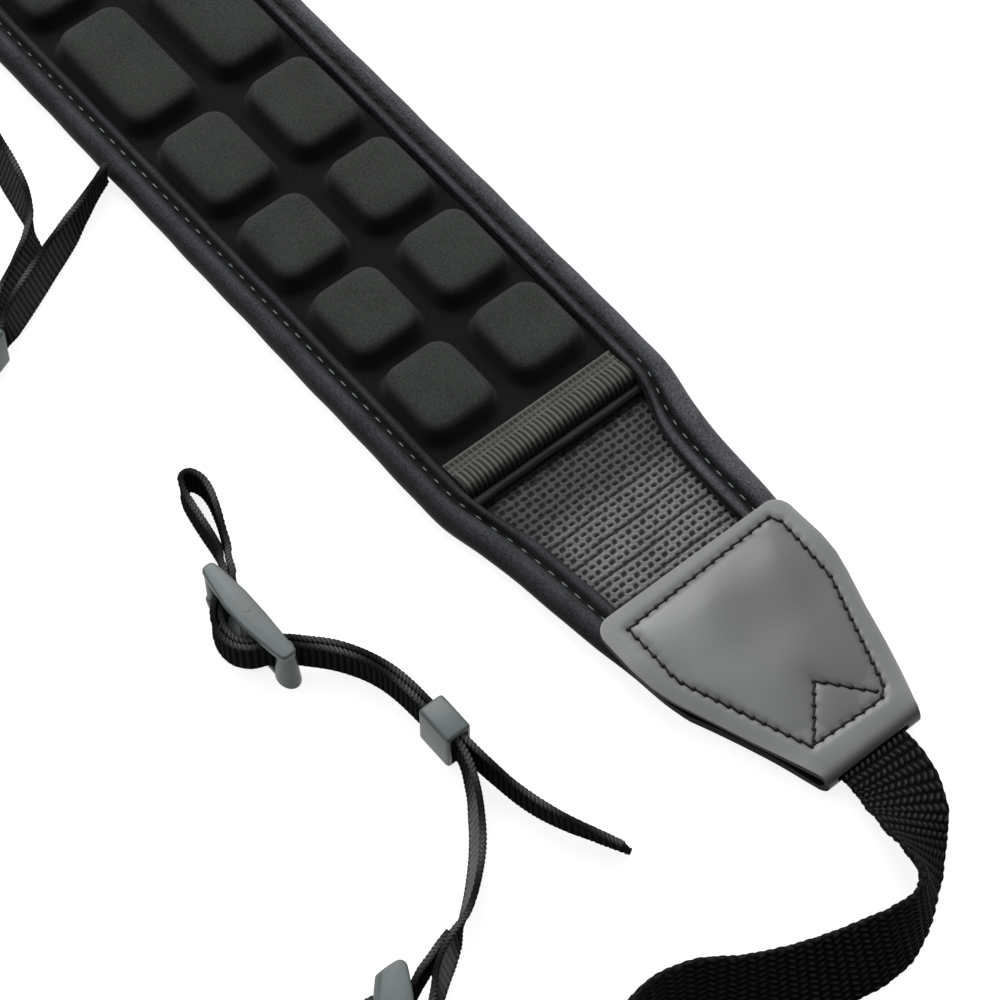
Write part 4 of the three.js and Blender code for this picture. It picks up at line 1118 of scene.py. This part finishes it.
def tab_thread(name, turn, pitch):
    """The tab's thread: slanted stitches end to end along the seam, with a knot at each hole."""
    spans = []
    for line in (TAB_SEAM, TAB_POINT):
        corners = np.array(line)
        legs = np.diff(corners, axis=0)
        run = np.concatenate([[0], np.cumsum(np.linalg.norm(legs, axis=1))])
        holes = np.linspace(0, run[-1], round(run[-1] / pitch) + 1)
        leg = np.clip(np.searchsorted(run, holes + 1e-6) - 1, 0, len(legs) - 1)
        ahead = legs[leg] / np.linalg.norm(legs[leg], axis=1)[:, None]
        sideways = np.column_stack([-ahead[:, 1], ahead[:, 0]])
        spot = np.column_stack([np.interp(holes, run, corners[:, k]) for k in (0, 1)])
        slant = STITCH_SLANT * (1 + 0.6 * np.sin(5.1 * np.arange(len(holes))))[:, None]
        starts = spot[:-1] + (slant * sideways - 0.15 * ahead)[:-1]
        ends = spot[1:] - (slant * sideways - 0.15 * ahead)[:-1]
        for start, end in zip(starts, ends):
            spans.append((start, end, *TAB_STITCH))
        for hole, way, side in zip(spot, ahead, sideways):
            tick = 0.42 * way + 0.34 * side
            spans.append((hole - tick, hole + tick, *TAB_KNOT))
    stitches = []
    for start, end, width, height, raised in spans:
        x, y = np.array([start[0], end[0]]), np.array([start[1], end[1]])
        z = tab_surface(x, y, pitch)[0] + raised
        tips = [Vector((turn * x[k], turn * y[k], z[k])) for k in (0, 1)]
        stitches.append((*tips, width, height))
    return stitch_row(name, stitches)


def open_mouth(piece, turn, middle, inner):
    """Cuts the mouth out of a tab's nose, between its leaves, and turns the grain side out."""
    bm = bmesh.new()
    bm.from_mesh(piece.data)
    mouth = []
    for face in bm.faces:
        spot = face.calc_center_median() / MM
        in_nose = turn * spot.x > TAB_ROWS[-1][0] + 0.5
        in_width = abs(turn * spot.y - MOUTH_MIDDLE) < MOUTH_HALF
        if in_nose and in_width and abs(spot.z - middle) < inner:
            mouth.append(face)
    bmesh.ops.delete(bm, geom=mouth, context="FACES")
    high = max(bm.faces, key=lambda face: face.calc_center_median().z)
    if high.normal.z < 0:
        bmesh.ops.reverse_faces(bm, faces=bm.faces)
    bm.to_mesh(piece.data)
    bm.free()


def leather_wall(piece):
    """Gives a tab's sheet the thickness of the leather, its flesh side, and a softened cut edge."""
    wall = piece.modifiers.new("leather", "SOLIDIFY")
    wall.thickness = LEATHER * MM
    wall.offset = -1
    wall.use_even_offset = True
    wall.material_offset = 1
    wall.material_offset_rim = 2
    rim = piece.modifiers.new("rim", "BEVEL")
    rim.width = LEATHER_RIM * MM
    rim.segments = 3
    rim.material = 0
    rim.limit_method = "ANGLE"
    rim.angle_limit = 0.9


def build_tabs(sizes, colours):
    """The folded leather tabs: swollen inside their seam, dark at the cut edge, with their thread."""
    pitch = sizes.tab_pitch / MM
    leathers = grain_leather(colours), leather_flesh(colours), leather_edge(colours)
    thread = sewing_thread("tab_thread", colours.thread)
    start, fold = TAB_ROWS[0][0], TAB_ROWS[-1][0]
    round_part = start + TAB_CORNER * (1 - np.cos(np.linspace(0, np.pi / 2, 12)))
    upper_x = np.concatenate([round_part, np.linspace(start + TAB_CORNER, fold, 100)[1:]])
    inner = (TAB_ROWS[-1][2] - TAB_UNDER_ROWS[-1][2] - LEATHER) / 2
    middle = TAB_UNDER_ROWS[-1][2] + LEATHER + inner
    angles = np.linspace(np.pi / 2, -np.pi / 2, 18)[1:-1]
    under_x = np.concatenate([np.linspace(fold, start + TAB_CORNER, 30), round_part[::-1][1:]])
    rows = np.arange(len(upper_x) + len(angles) + len(under_x))
    for name, turn in TURNS.items():
        def place(us, vs):
            share = vs[None, :]
            x = upper_x[:, None]
            y = share * tab_half(x, TAB_ROWS) + tab_bend(x)
            z, valley = tab_surface(x, y, pitch)
            # Painted light and shade: lighter towards -y and on the margin, darker in the sewn valley and
            # before the nose; the nose darkens as it turns down.
            painted_light = 0.4 + 0.3 * smoothstep(np.clip((4 - y) / 20, 0, 1))
            margin = np.interp(share, *MARGIN_PAINTED_LIGHT) * np.interp(x - fold, *MARGIN_END_PAINTED_SHADE)
            shade = np.where(inside_seam(x, y, TAB_SEAM), painted_light, margin)
            upper = x, y, z, shade * (1 - 0.6 * np.clip(valley / 0.3, 0, 1))
            nose = angles[:, None]
            x = fold + (inner + LEATHER) * np.cos(nose)
            y = share * (TAB_ROWS[-1][1] - 0.7 * np.cos(nose)) + tab_bend(x)
            front = x, y, middle + (inner + LEATHER) * np.sin(nose), np.interp(nose, *NOSE_PAINTED_SHADE)
            x = under_x[:, None]
            y = share * tab_half(x, TAB_UNDER_ROWS) + tab_bend(x)
            under = x, y, leaf_height(x, share, TAB_UNDER_ROWS), UNDER_COLOUR
            parts = [np.broadcast_arrays(*part) for part in (upper, front, under)]
            x, y, z, relief_and_shade = (np.concatenate(column) for column in zip(*parts))
            return stacked(turn * x, turn * y, z), {"relief_and_shade": relief_and_shade}

        piece = net_piece(f"tab_leather_{name}", rows, np.linspace(-1, 1, 81), place)
        open_mouth(piece, turn, middle, inner)
        leather_wall(piece)
        dress(piece, leathers[0], "leather", f"leather_tab_{name}")
        for leather in leathers[1:]:
            piece.data.materials.append(leather)
        dress(tab_thread(f"tab_stitches_{name}", turn, pitch), thread, "leather")


def placed(rows, plan):
    """Rows of a plan frame (u, v, lean, lift) set in the pad's frame as x, y, lean and lift."""
    x, y, u_axis, v_axis = plan
    return [
        (x + u * u_axis[0] + v * v_axis[0], y + u * u_axis[1] + v * v_axis[1], lean, lift)
        for u, v, lean, lift in rows
    ]


def lifted(rows, lift):
    """Rows of a loop (u, v, lean) with the height of its lowest edge."""
    return [(u, v, lean, lift) for u, v, lean in rows]


def upright(rows):
    """Rows (u, v, lift) of a strap that stands on edge, with no lean."""
    return [(u, v, 0.0, lift) for u, v, lift in rows]


def beside(rows, offset):
    """Rows of a plan frame moved sideways, for one layer of the doubled strap."""
    table = np.array(rows, float)
    at = np.arange(len(table), dtype=float)
    ahead = spline(table, np.minimum(at + 0.002, at[-1]))
    behind = spline(table, np.maximum(at - 0.002, 0.0))
    along = (ahead - behind)[:, :2]
    along /= np.linalg.norm(along, axis=1)[:, None]
    moved = table.copy()
    moved[:, 0] -= along[:, 1] * offset
    moved[:, 1] += along[:, 0] * offset
    return [tuple(row) for row in moved]


def section_round(shares, width, thick):
    """Across and through offsets of a webbing's rounded section, and the way out from it."""
    straight, radius = width - thick, thick / 2
    bow = np.pi * radius
    p = shares * 2 * (straight + bow)
    turn_one, turn_two = (p - straight) / radius, (p - 2 * straight - bow) / radius
    parts = [p <= straight, p <= straight + bow, p <= 2 * straight + bow]
    flat, end = 0 * p, straight / 2
    across = np.select(parts, [p - end, end + radius * np.sin(turn_one), end - (p - straight - bow)],
                       -end - radius * np.sin(turn_two))
    through = np.select(parts, [flat + radius, radius * np.cos(turn_one), flat - radius],
                        -radius * np.cos(turn_two))
    out = np.select(parts, [flat, np.sin(turn_one), flat], -np.sin(turn_two))
    return across, through, out, through / radius


def webbing_piece(name, rows, size, steps, weave, depth, looks, cut=0.0):
    """A flat woven webbing swept along a route, its weave sunk into the faces; also its length.

    looks holds the values that WIDE_LOOKS lists.
    cut is how much the end's lower corner outruns the upper one.
    """
    width, thick = size
    selvedge, fall, painted_shade_share, painted_light, painted_light_end = looks
    table = np.array(rows, float)
    knots = np.linspace(0, len(table) - 1, 40 * (len(table) - 1) + 1)
    line = spline(table[:, :2], knots)
    run = np.concatenate([[0], np.cumsum(np.linalg.norm(np.diff(line, axis=0), axis=1))])
    length = run[-1]
    around = 2 * (width - thick) + np.pi * thick

    def place(us, vs):
        at = np.interp(us, run, knots)
        middle = spline(table[:, :2], at)
        ahead = spline(table[:, :2], np.minimum(at + 0.01, knots[-1]))
        along = ahead - spline(table[:, :2], np.maximum(at - 0.01, 0))
        along /= np.linalg.norm(along, axis=1)[:, None]
        pose = spline(table[:, 2:], at, 0.3)
        cos, sin = np.cos(np.radians(pose[:, 0])), np.sin(np.radians(pose[:, 0]))
        lift = np.maximum(pose[:, 1], 0) + width / 2 * np.abs(cos) + thick / 2 * np.abs(sin)
        side = np.column_stack([-along[:, 1], along[:, 0]])
        across_way = np.column_stack([side * sin[:, None], cos])
        through_way = np.column_stack([side * cos[:, None], -sin])
        across, through, out_across, out_through = section_round(vs, width, thick)
        relief_and_shade = weave(us[:, None], across[None, :], np.sign(through)[None, :])
        sunk = -depth * (1 - relief_and_shade)
        edge = np.clip((np.abs(across) - (width / 2 - EDGE_START)) / EDGE_BLEND, 0, 1)
        w = across[None, :] + out_across[None, :] * sunk
        t = (through * (1 + selvedge * edge))[None, :] + out_through[None, :] * sunk
        centre = np.column_stack([middle, lift])[:, None, :]
        points = centre + across_way[:, None, :] * w[..., None] + through_way[:, None, :] * t[..., None]
        at_tip = np.clip((us - length) / TAIL_CUT_LENGTH + 1, 0, 1)
        tip = cut * at_tip[:, None] * w / width
        points[..., :2] -= along[:, None, :] * tip[..., None]
        points[..., 2] = np.maximum(points[..., 2], 0.0)
        # Painted shade on faces not turned up, and a painted sheen on faces that lean to the sky.
        faces_up = across_way[:, 2:] * out_across + through_way[:, 2:] * out_through
        lit = painted_shade_share + (1 - painted_shade_share) * np.clip(faces_up, 0, 1)
        lean = np.interp(faces_up, PAINTED_SHEEN_RANGE, (0, 1)) * (1 - edge) * (us < painted_light_end)[:, None]
        return points, {"relief_and_shade": relief_and_shade ** fall * lit + painted_light * lean * (0.5 + 0.5 * relief_and_shade)}

    lines = graded_lines(0, length, [FINE_STRETCH[0]], FINE_STRETCH[1], *steps[:2])
    piece = net_piece(name, lines, np.linspace(0, 1, round(around / steps[2]) + 1), place, tube=True)
    return piece, length


def build_wide_webbings(sizes, colours):
    """The wide webbings from the tabs to the connectors, sewn back in a loop."""
    row, column = sizes.wide_row / MM, sizes.wide_column / MM
    cloth = wide_nylon(colours)

    def weave(s, w, face):
        """Slanted beads in rows along the webbing, each row set aside from the last."""
        along = s / row
        number = np.floor(along)
        share = along - number - 0.5
        slant = np.where(number % 2 == 0, 0.5, -0.5)
        phase = w / column + 0.37 * number + slant * share + 0.25 * face
        from_ridge = np.abs(phase - np.rint(phase)) * 2
        bead = 1 - (from_ridge / 0.76) ** 2 - (share / 0.41) ** 4
        bead = np.clip(bead, 0, 1) ** 0.6
        edge = 0.7 * np.clip((np.abs(w) - (WIDE[0] / 2 - 0.9)) / 0.5, 0, 1)
        return bead + (0.72 - bead) * edge

    for name, end in ENDS.items():
        rows = list(end["wide"]) + placed(lifted(WIDE_LOOP, LOOP_LIFT), end["joiner"])
        piece, length = webbing_piece(
            f"wide_nylon_{name}", rows, WIDE, WIDE_STEPS[name], weave, WIDE_DEPTH, WIDE_LOOKS,
        )
        dress(piece, cloth, "webbing", f"wide_webbing_{name}")


def build_narrow_straps(sizes, colours):
    """The narrow straps: sewn round the connector, through keeper and slide, round the end loop."""
    rib = sizes.narrow_rib / MM
    cloth = narrow_polyester(colours)

    def weave(s, w, face):
        """Round cross ribs with grooves that painted shade darkens, and a woven edge of coarse grains."""
        ribs = 0.5 + 0.5 * np.cos(2 * np.pi * (s / rib + 0.5 * (face > 0)))
        ribs = 0.05 + 0.6 * ribs ** 0.8
        grain = s / 0.9 + 0.31 * np.rint(w / 0.4) + 0.5 * (face > 0)
        number = np.floor(grain)
        bead = 1 - (2 * (grain - number) - 1) ** 2
        bead = bead * (0.68 + 0.32 * np.sin(12.9 * number + 5.0 * np.sign(w)))
        edge = np.clip((np.abs(w) - (NARROW[0] / 2 - 0.7)) / 0.2, 0, 1)
        return np.clip(ribs * (1 - edge) + bead * edge, 0, 1)

    for name, end in ENDS.items():
        sewn = placed(lifted(NARROW_LOOP, LOOP_LIFT), end["joiner"])
        out = placed(upright(beside(DOUBLED_ROWS, -LAYER_PITCH / 2)), end["slide"])
        loop = placed(upright(END_LOOP_ROWS), end["slide"])
        back = placed(upright(beside(DOUBLED_ROWS, LAYER_PITCH / 2)), end["slide"])[::-1]
        rows = sewn + list(end["strand"]) + out + loop + back + list(end["tail"])
        piece, length = webbing_piece(
            f"narrow_polyester_{name}", rows, NARROW, NARROW_STEPS, weave, NARROW_DEPTH,
            NARROW_LOOKS[name], TAIL_CUT,
        )
        dress(piece, cloth, "webbing", f"narrow_strap_{name}")


def plan_matrix(plan):
    """Places a piece's plan frame in the pad's frame, in metres."""
    x, y, u_axis, v_axis = plan
    return Matrix((
        (u_axis[0], v_axis[0], 0, x * MM), (u_axis[1], v_axis[1], 0, y * MM),
        (0, 0, 1, 0), (0, 0, 0, 1),
    ))


def rectangle(low, high, half):
    """Plan corners of a rectangle from low to high along u."""
    return ((low, -half), (high, -half), (high, half), (low, half))


def slab_mesh(outline, bottom, top, corner, bevel, batter=None):
    """A flat moulded plate: rounded corners, soft rims, and a top outline drawn in by batter."""
    bm = bmesh.new()
    bmesh.ops.create_circle(bm, cap_ends=True, segments=len(outline), radius=1)
    for vert, (u, v) in zip(sorted(bm.verts, key=lambda vert: vert.index), outline):
        vert.co = (u, v, bottom)
    made = bmesh.ops.extrude_face_region(bm, geom=bm.faces[:])
    for vert in made_verts(made):
        vert.co.z = top
        if batter:
            vert.co.y = batter(vert.co.y)
    bmesh.ops.recalc_face_normals(bm, faces=bm.faces)
    for flat, size, segments in ((False, corner, 5), (True, bevel, 4)):
        edges = []
        for edge in bm.edges:
            level = abs(edge.verts[0].co.z - edge.verts[1].co.z) < 1e-6
            if size and level == flat and edge.calc_face_angle() > 0.35:
                edges.append(edge)
        if edges:
            soften(bm, edges, size, segments)
    return bm


def post_mesh(u, v, along, across, taper, bottom, top):
    """An upright oval post, whose top is its foot scaled by taper."""
    bm = bmesh.new()
    size = Matrix.Diagonal((along, across, top - bottom, 1))
    spot = Matrix.Translation((u, v, (top + bottom) / 2))
    bmesh.ops.create_cone(
        bm, cap_ends=True, segments=32, radius1=1, radius2=taper, depth=1, matrix=spot @ size,
    )
    return bm


def moulded_piece(name, shapes, plan):
    """One solid from overlapping shapes, set in the pad's frame."""
    parts = []
    for shape in shapes:
        mesh = bpy.data.meshes.new(name)
        shape.to_mesh(mesh)
        shape.free()
        parts.append(new_piece(name, mesh))
    for part in parts[1:]:
        union = parts[0].modifiers.new("union", "BOOLEAN")
        union.operation = "UNION"
        union.solver = "EXACT"
        union.object = part
    whole = parts[0].evaluated_get(bpy.context.evaluated_depsgraph_get())
    mesh = bpy.data.meshes.new_from_object(whole)
    for part in parts:
        old = part.data
        bpy.data.objects.remove(part)
        bpy.data.meshes.remove(old)
    mesh.name = name
    mesh.transform(plan_matrix(plan) @ Matrix.Scale(MM, 4))
    mesh.shade_smooth()
    mesh.set_sharp_from_angle(angle=SHARP_ANGLE)
    return new_piece(name, mesh)


def keeper_sleeve(name, plan):
    """The small sleeve that holds the doubled strap: a rounded box, open along the strap."""
    along, across, tall, wall = KEEPER_SIZE
    bm = bmesh.new()
    bmesh.ops.create_cube(bm, size=1, matrix=Matrix.Diagonal((along, across, tall, 1)))
    ends = [face for face in bm.faces if abs(face.normal.x) > 0.9]
    bmesh.ops.inset_region(bm, faces=ends, thickness=wall, use_even_offset=True)
    bmesh.ops.bridge_loops(bm, edges=[e for f in ends for e in f.edges])
    bmesh.ops.delete(bm, geom=[f for f in ends if f.is_valid], context="FACES_ONLY")
    bmesh.ops.recalc_face_normals(bm, faces=bm.faces)

    def outside(vert):
        return abs(vert.co.z) > tall / 2 - 0.1 or abs(vert.co.y) > across / 2 - 0.1

    outer = [edge for edge in bm.edges if all(outside(vert) for vert in edge.verts)]
    soften(bm, outer, KEEPER_ROUND, segments=4)
    spot = Matrix.Translation((*KEEPER_AT, tall / 2))
    bmesh.ops.transform(bm, matrix=plan_matrix(plan) @ Matrix.Scale(MM, 4) @ spot, verts=bm.verts)
    bmesh.ops.recalc_face_normals(bm, faces=bm.faces)
    piece = mesh_piece(name, bm)
    piece.data.shade_smooth()
    piece.data.set_sharp_from_angle(angle=SHARP_ANGLE)
    return piece


def build_fittings(colours):
    """The moulded slides, keepers and connectors at both ends."""
    plastic = moulded_plastic(colours)
    corners = np.array(JOINER_OUTLINE)[:, None, :]
    low_roof = closed_curve(corners, np.arange(48) / 48, tension=0.42)[:, 0, :]
    for name, end in ENDS.items():
        slide = [slab_mesh(SLIDE_OUTLINE, SLIDE_ROOF, SLIDE_TOP, corner=0.9, bevel=0.5)]
        slide.append(slab_mesh(SLIDE_FOOT_OUTLINE, 0.0, SLIDE_FOOT, corner=0.7, bevel=0.4))
        slide += [post_mesh(*post, 0.1, SLIDE_TOP - 0.6) for post in SLIDE_POSTS]
        dot_top = SLIDE_TOP + MOULD_DOT_RISE
        slide.append(post_mesh(0, 0, MOULD_DOT, MOULD_DOT, 1.0, SLIDE_ROOF + 0.5, dot_top))
        piece = moulded_piece(f"slide_bars_{name}", slide, end["slide"])
        dress(piece, plastic, "plastic", f"tri_glide_{name}")

        joiner = [slab_mesh(
            low_roof, JOINER_ROOF, JOINER_ROOF + JOINER_PLATE, corner=0, bevel=0.45,
            batter=lambda v: v + np.interp(v, [-JOINER_HALF, 1.5], [JOINER_BATTER, 0.0]),
        )]
        foot = rectangle(0, JOINER_LENGTH, JOINER_HALF)
        wide_roof = rectangle(JOINER_RISER[0], JOINER_LENGTH, JOINER_HALF)
        riser = rectangle(*JOINER_RISER, JOINER_HALF)
        joiner.append(slab_mesh(foot, 0, JOINER_PLATE, corner=1.7, bevel=0.4))
        joiner.append(slab_mesh(wide_roof, JOINER_HIGH_ROOF, JOINER_TOP, corner=1.6, bevel=0.4))
        joiner.append(slab_mesh(riser, JOINER_ROOF, JOINER_TOP - 0.05, corner=1.6, bevel=0.4))
        for u, radius, top in JOINER_POSTS:
            joiner.append(post_mesh(u, 0, radius, radius, 1.0, 0.6, top))
        piece = moulded_piece(f"connector_bars_{name}", joiner, end["joiner"])
        dress(piece, plastic, "plastic", f"connector_{name}")
        dress(keeper_sleeve(f"keeper_sleeve_{name}", end["slide"]), plastic, "plastic", f"keeper_{name}")


def build_stage(colours):
    """The pale floor, the soft lights and the camera at the photo's angle."""
    scene = bpy.context.scene
    bm = bmesh.new()
    bmesh.ops.create_grid(bm, x_segments=1, y_segments=1, size=FLOOR_HALF)
    bmesh.ops.translate(bm, verts=bm.verts, vec=(0, 0, -FLOOR_DROP))
    floor = mesh_piece("floor", bm)
    floor.data.materials.append(floor_paper(colours))

    world = bpy.data.worlds.new("studio")
    scene.world = world
    world.use_nodes = True
    tree = world.node_tree
    way = add_node(tree, "ShaderNodeTexCoord").outputs["Generated"]
    height = add_node(tree, "ShaderNodeVectorMath", {"operation": "DOT_PRODUCT"}, {
        0: way, 1: Vector(SKY_WAY).normalized(),
    }).outputs["Value"]
    glow = add_node(tree, "ShaderNodeMapRange", {"interpolation_type": "SMOOTHSTEP"}, {
        "Value": height, "From Min": -0.1, "From Max": 1.0, "To Min": SKY_GLOW[0], "To Max": SKY_GLOW[1],
    }).outputs[0]
    sky = tree.nodes["Background"]
    sky.inputs["Color"].default_value = (1, 1, 1, 1)
    tree.links.new(glow, sky.inputs["Strength"])
    for name, at, aim, size, power in LIGHTS:
        data = bpy.data.lights.new(name, "AREA")
        data.shape = "SQUARE"
        data.size = size
        data.energy = power
        lamp = bpy.data.objects.new(name, data)
        lamp.location = at
        lamp.rotation_euler = (Vector(aim) - Vector(at)).to_track_quat("-Z", "Y").to_euler()
        scene.collection.objects.link(lamp)

    lens = bpy.data.cameras.new("camera")
    lens.lens = CAMERA_LENS
    lens.sensor_width = CAMERA_SENSOR
    lens.clip_start = 0.01
    camera = bpy.data.objects.new("camera", lens)
    at, aim = Vector(CAMERA_AT) * MM, Vector(CAMERA_AIM) * MM
    camera.location = at
    camera.rotation_euler = (aim - at).to_track_quat("-Z", "Y").to_euler()
    scene.collection.objects.link(camera)
    scene.camera = camera
    scene.view_settings.view_transform = "Standard"


class STRAP_OT_stage(bpy.types.Operator):
    """Make the floor, the lights and the camera"""

    bl_idname = "strap.stage"
    bl_label = "Stage"

    def execute(self, context):
        build_stage(context.scene.strap_colours)
        return {"FINISHED"}


class STRAP_OT_cushion(bpy.types.Operator):
    """Make the foam cushion with its cells"""

    bl_idname = "strap.cushion"
    bl_label = "Cushion"

    def execute(self, context):
        build_cushion(context.scene.strap_sizes, context.scene.strap_colours)
        return {"FINISHED"}


class STRAP_OT_bindings(bpy.types.Operator):
    """Make the rolled bindings and their stitches"""

    bl_idname = "strap.bindings"
    bl_label = "Bindings"

    def execute(self, context):
        build_bindings(context.scene.strap_sizes, context.scene.strap_colours)
        return {"FINISHED"}


class STRAP_OT_carrier(bpy.types.Operator):
    """Make the woven base webbing"""

    bl_idname = "strap.carrier"
    bl_label = "Carrier webbing"

    def execute(self, context):
        build_carrier(context.scene.strap_sizes, context.scene.strap_colours)
        return {"FINISHED"}


class STRAP_OT_tapes(bpy.types.Operator):
    """Make the ribbed tapes and the strips at their feet"""

    bl_idname = "strap.tapes"
    bl_label = "End tapes"

    def execute(self, context):
        build_tapes(context.scene.strap_sizes, context.scene.strap_colours)
        return {"FINISHED"}


class STRAP_OT_tabs(bpy.types.Operator):
    """Make the folded leather tabs and their stitches"""

    bl_idname = "strap.tabs"
    bl_label = "Leather tabs"

    def execute(self, context):
        build_tabs(context.scene.strap_sizes, context.scene.strap_colours)
        return {"FINISHED"}


class STRAP_OT_wide_webbings(bpy.types.Operator):
    """Make the wide nylon webbings"""

    bl_idname = "strap.wide_webbings"
    bl_label = "Wide webbings"

    def execute(self, context):
        build_wide_webbings(context.scene.strap_sizes, context.scene.strap_colours)
        return {"FINISHED"}


class STRAP_OT_narrow_straps(bpy.types.Operator):
    """Make the narrow straps with their end loops"""

    bl_idname = "strap.narrow_straps"
    bl_label = "Narrow straps"

    def execute(self, context):
        build_narrow_straps(context.scene.strap_sizes, context.scene.strap_colours)
        return {"FINISHED"}


class STRAP_OT_fittings(bpy.types.Operator):
    """Make the moulded slides, keepers and connectors"""

    bl_idname = "strap.fittings"
    bl_label = "Fittings"

    def execute(self, context):
        build_fittings(context.scene.strap_colours)
        return {"FINISHED"}


STEPS = (
    STRAP_OT_stage, STRAP_OT_narrow_straps, STRAP_OT_wide_webbings, STRAP_OT_cushion,
    STRAP_OT_bindings, STRAP_OT_carrier, STRAP_OT_tapes, STRAP_OT_tabs, STRAP_OT_fittings,
)


class STRAP_PT_pieces(bpy.types.Panel):
    """Lists the steps that build the strap"""

    bl_idname = "STRAP_PT_pieces"
    bl_label = "Padded strap"
    bl_space_type = "VIEW_3D"
    bl_region_type = "UI"
    bl_category = "Strap"

    def draw(self, context):
        for step in STEPS:
            self.layout.operator(step.bl_idname)
        for group in (context.scene.strap_sizes, context.scene.strap_colours):
            for key in group.__annotations__:
                self.layout.prop(group, key)


CLASSES = (StrapSizes, StrapColours, *STEPS, STRAP_PT_pieces)


def register():
    """Adds the classes and the scene's settings."""
    for cls in CLASSES:
        bpy.utils.register_class(cls)
    bpy.types.Scene.strap_sizes = bpy.props.PointerProperty(type=StrapSizes)
    bpy.types.Scene.strap_colours = bpy.props.PointerProperty(type=StrapColours)


def unregister():
    """Takes the settings and the classes out again."""
    del bpy.types.Scene.strap_colours
    del bpy.types.Scene.strap_sizes
    for cls in reversed(CLASSES):
        bpy.utils.unregister_class(cls)


def main():
    register()
    for step in STEPS:
        group, name = step.bl_idname.split(".")
        getattr(getattr(bpy.ops, group), name)()


if __name__ == "__main__":
    main()
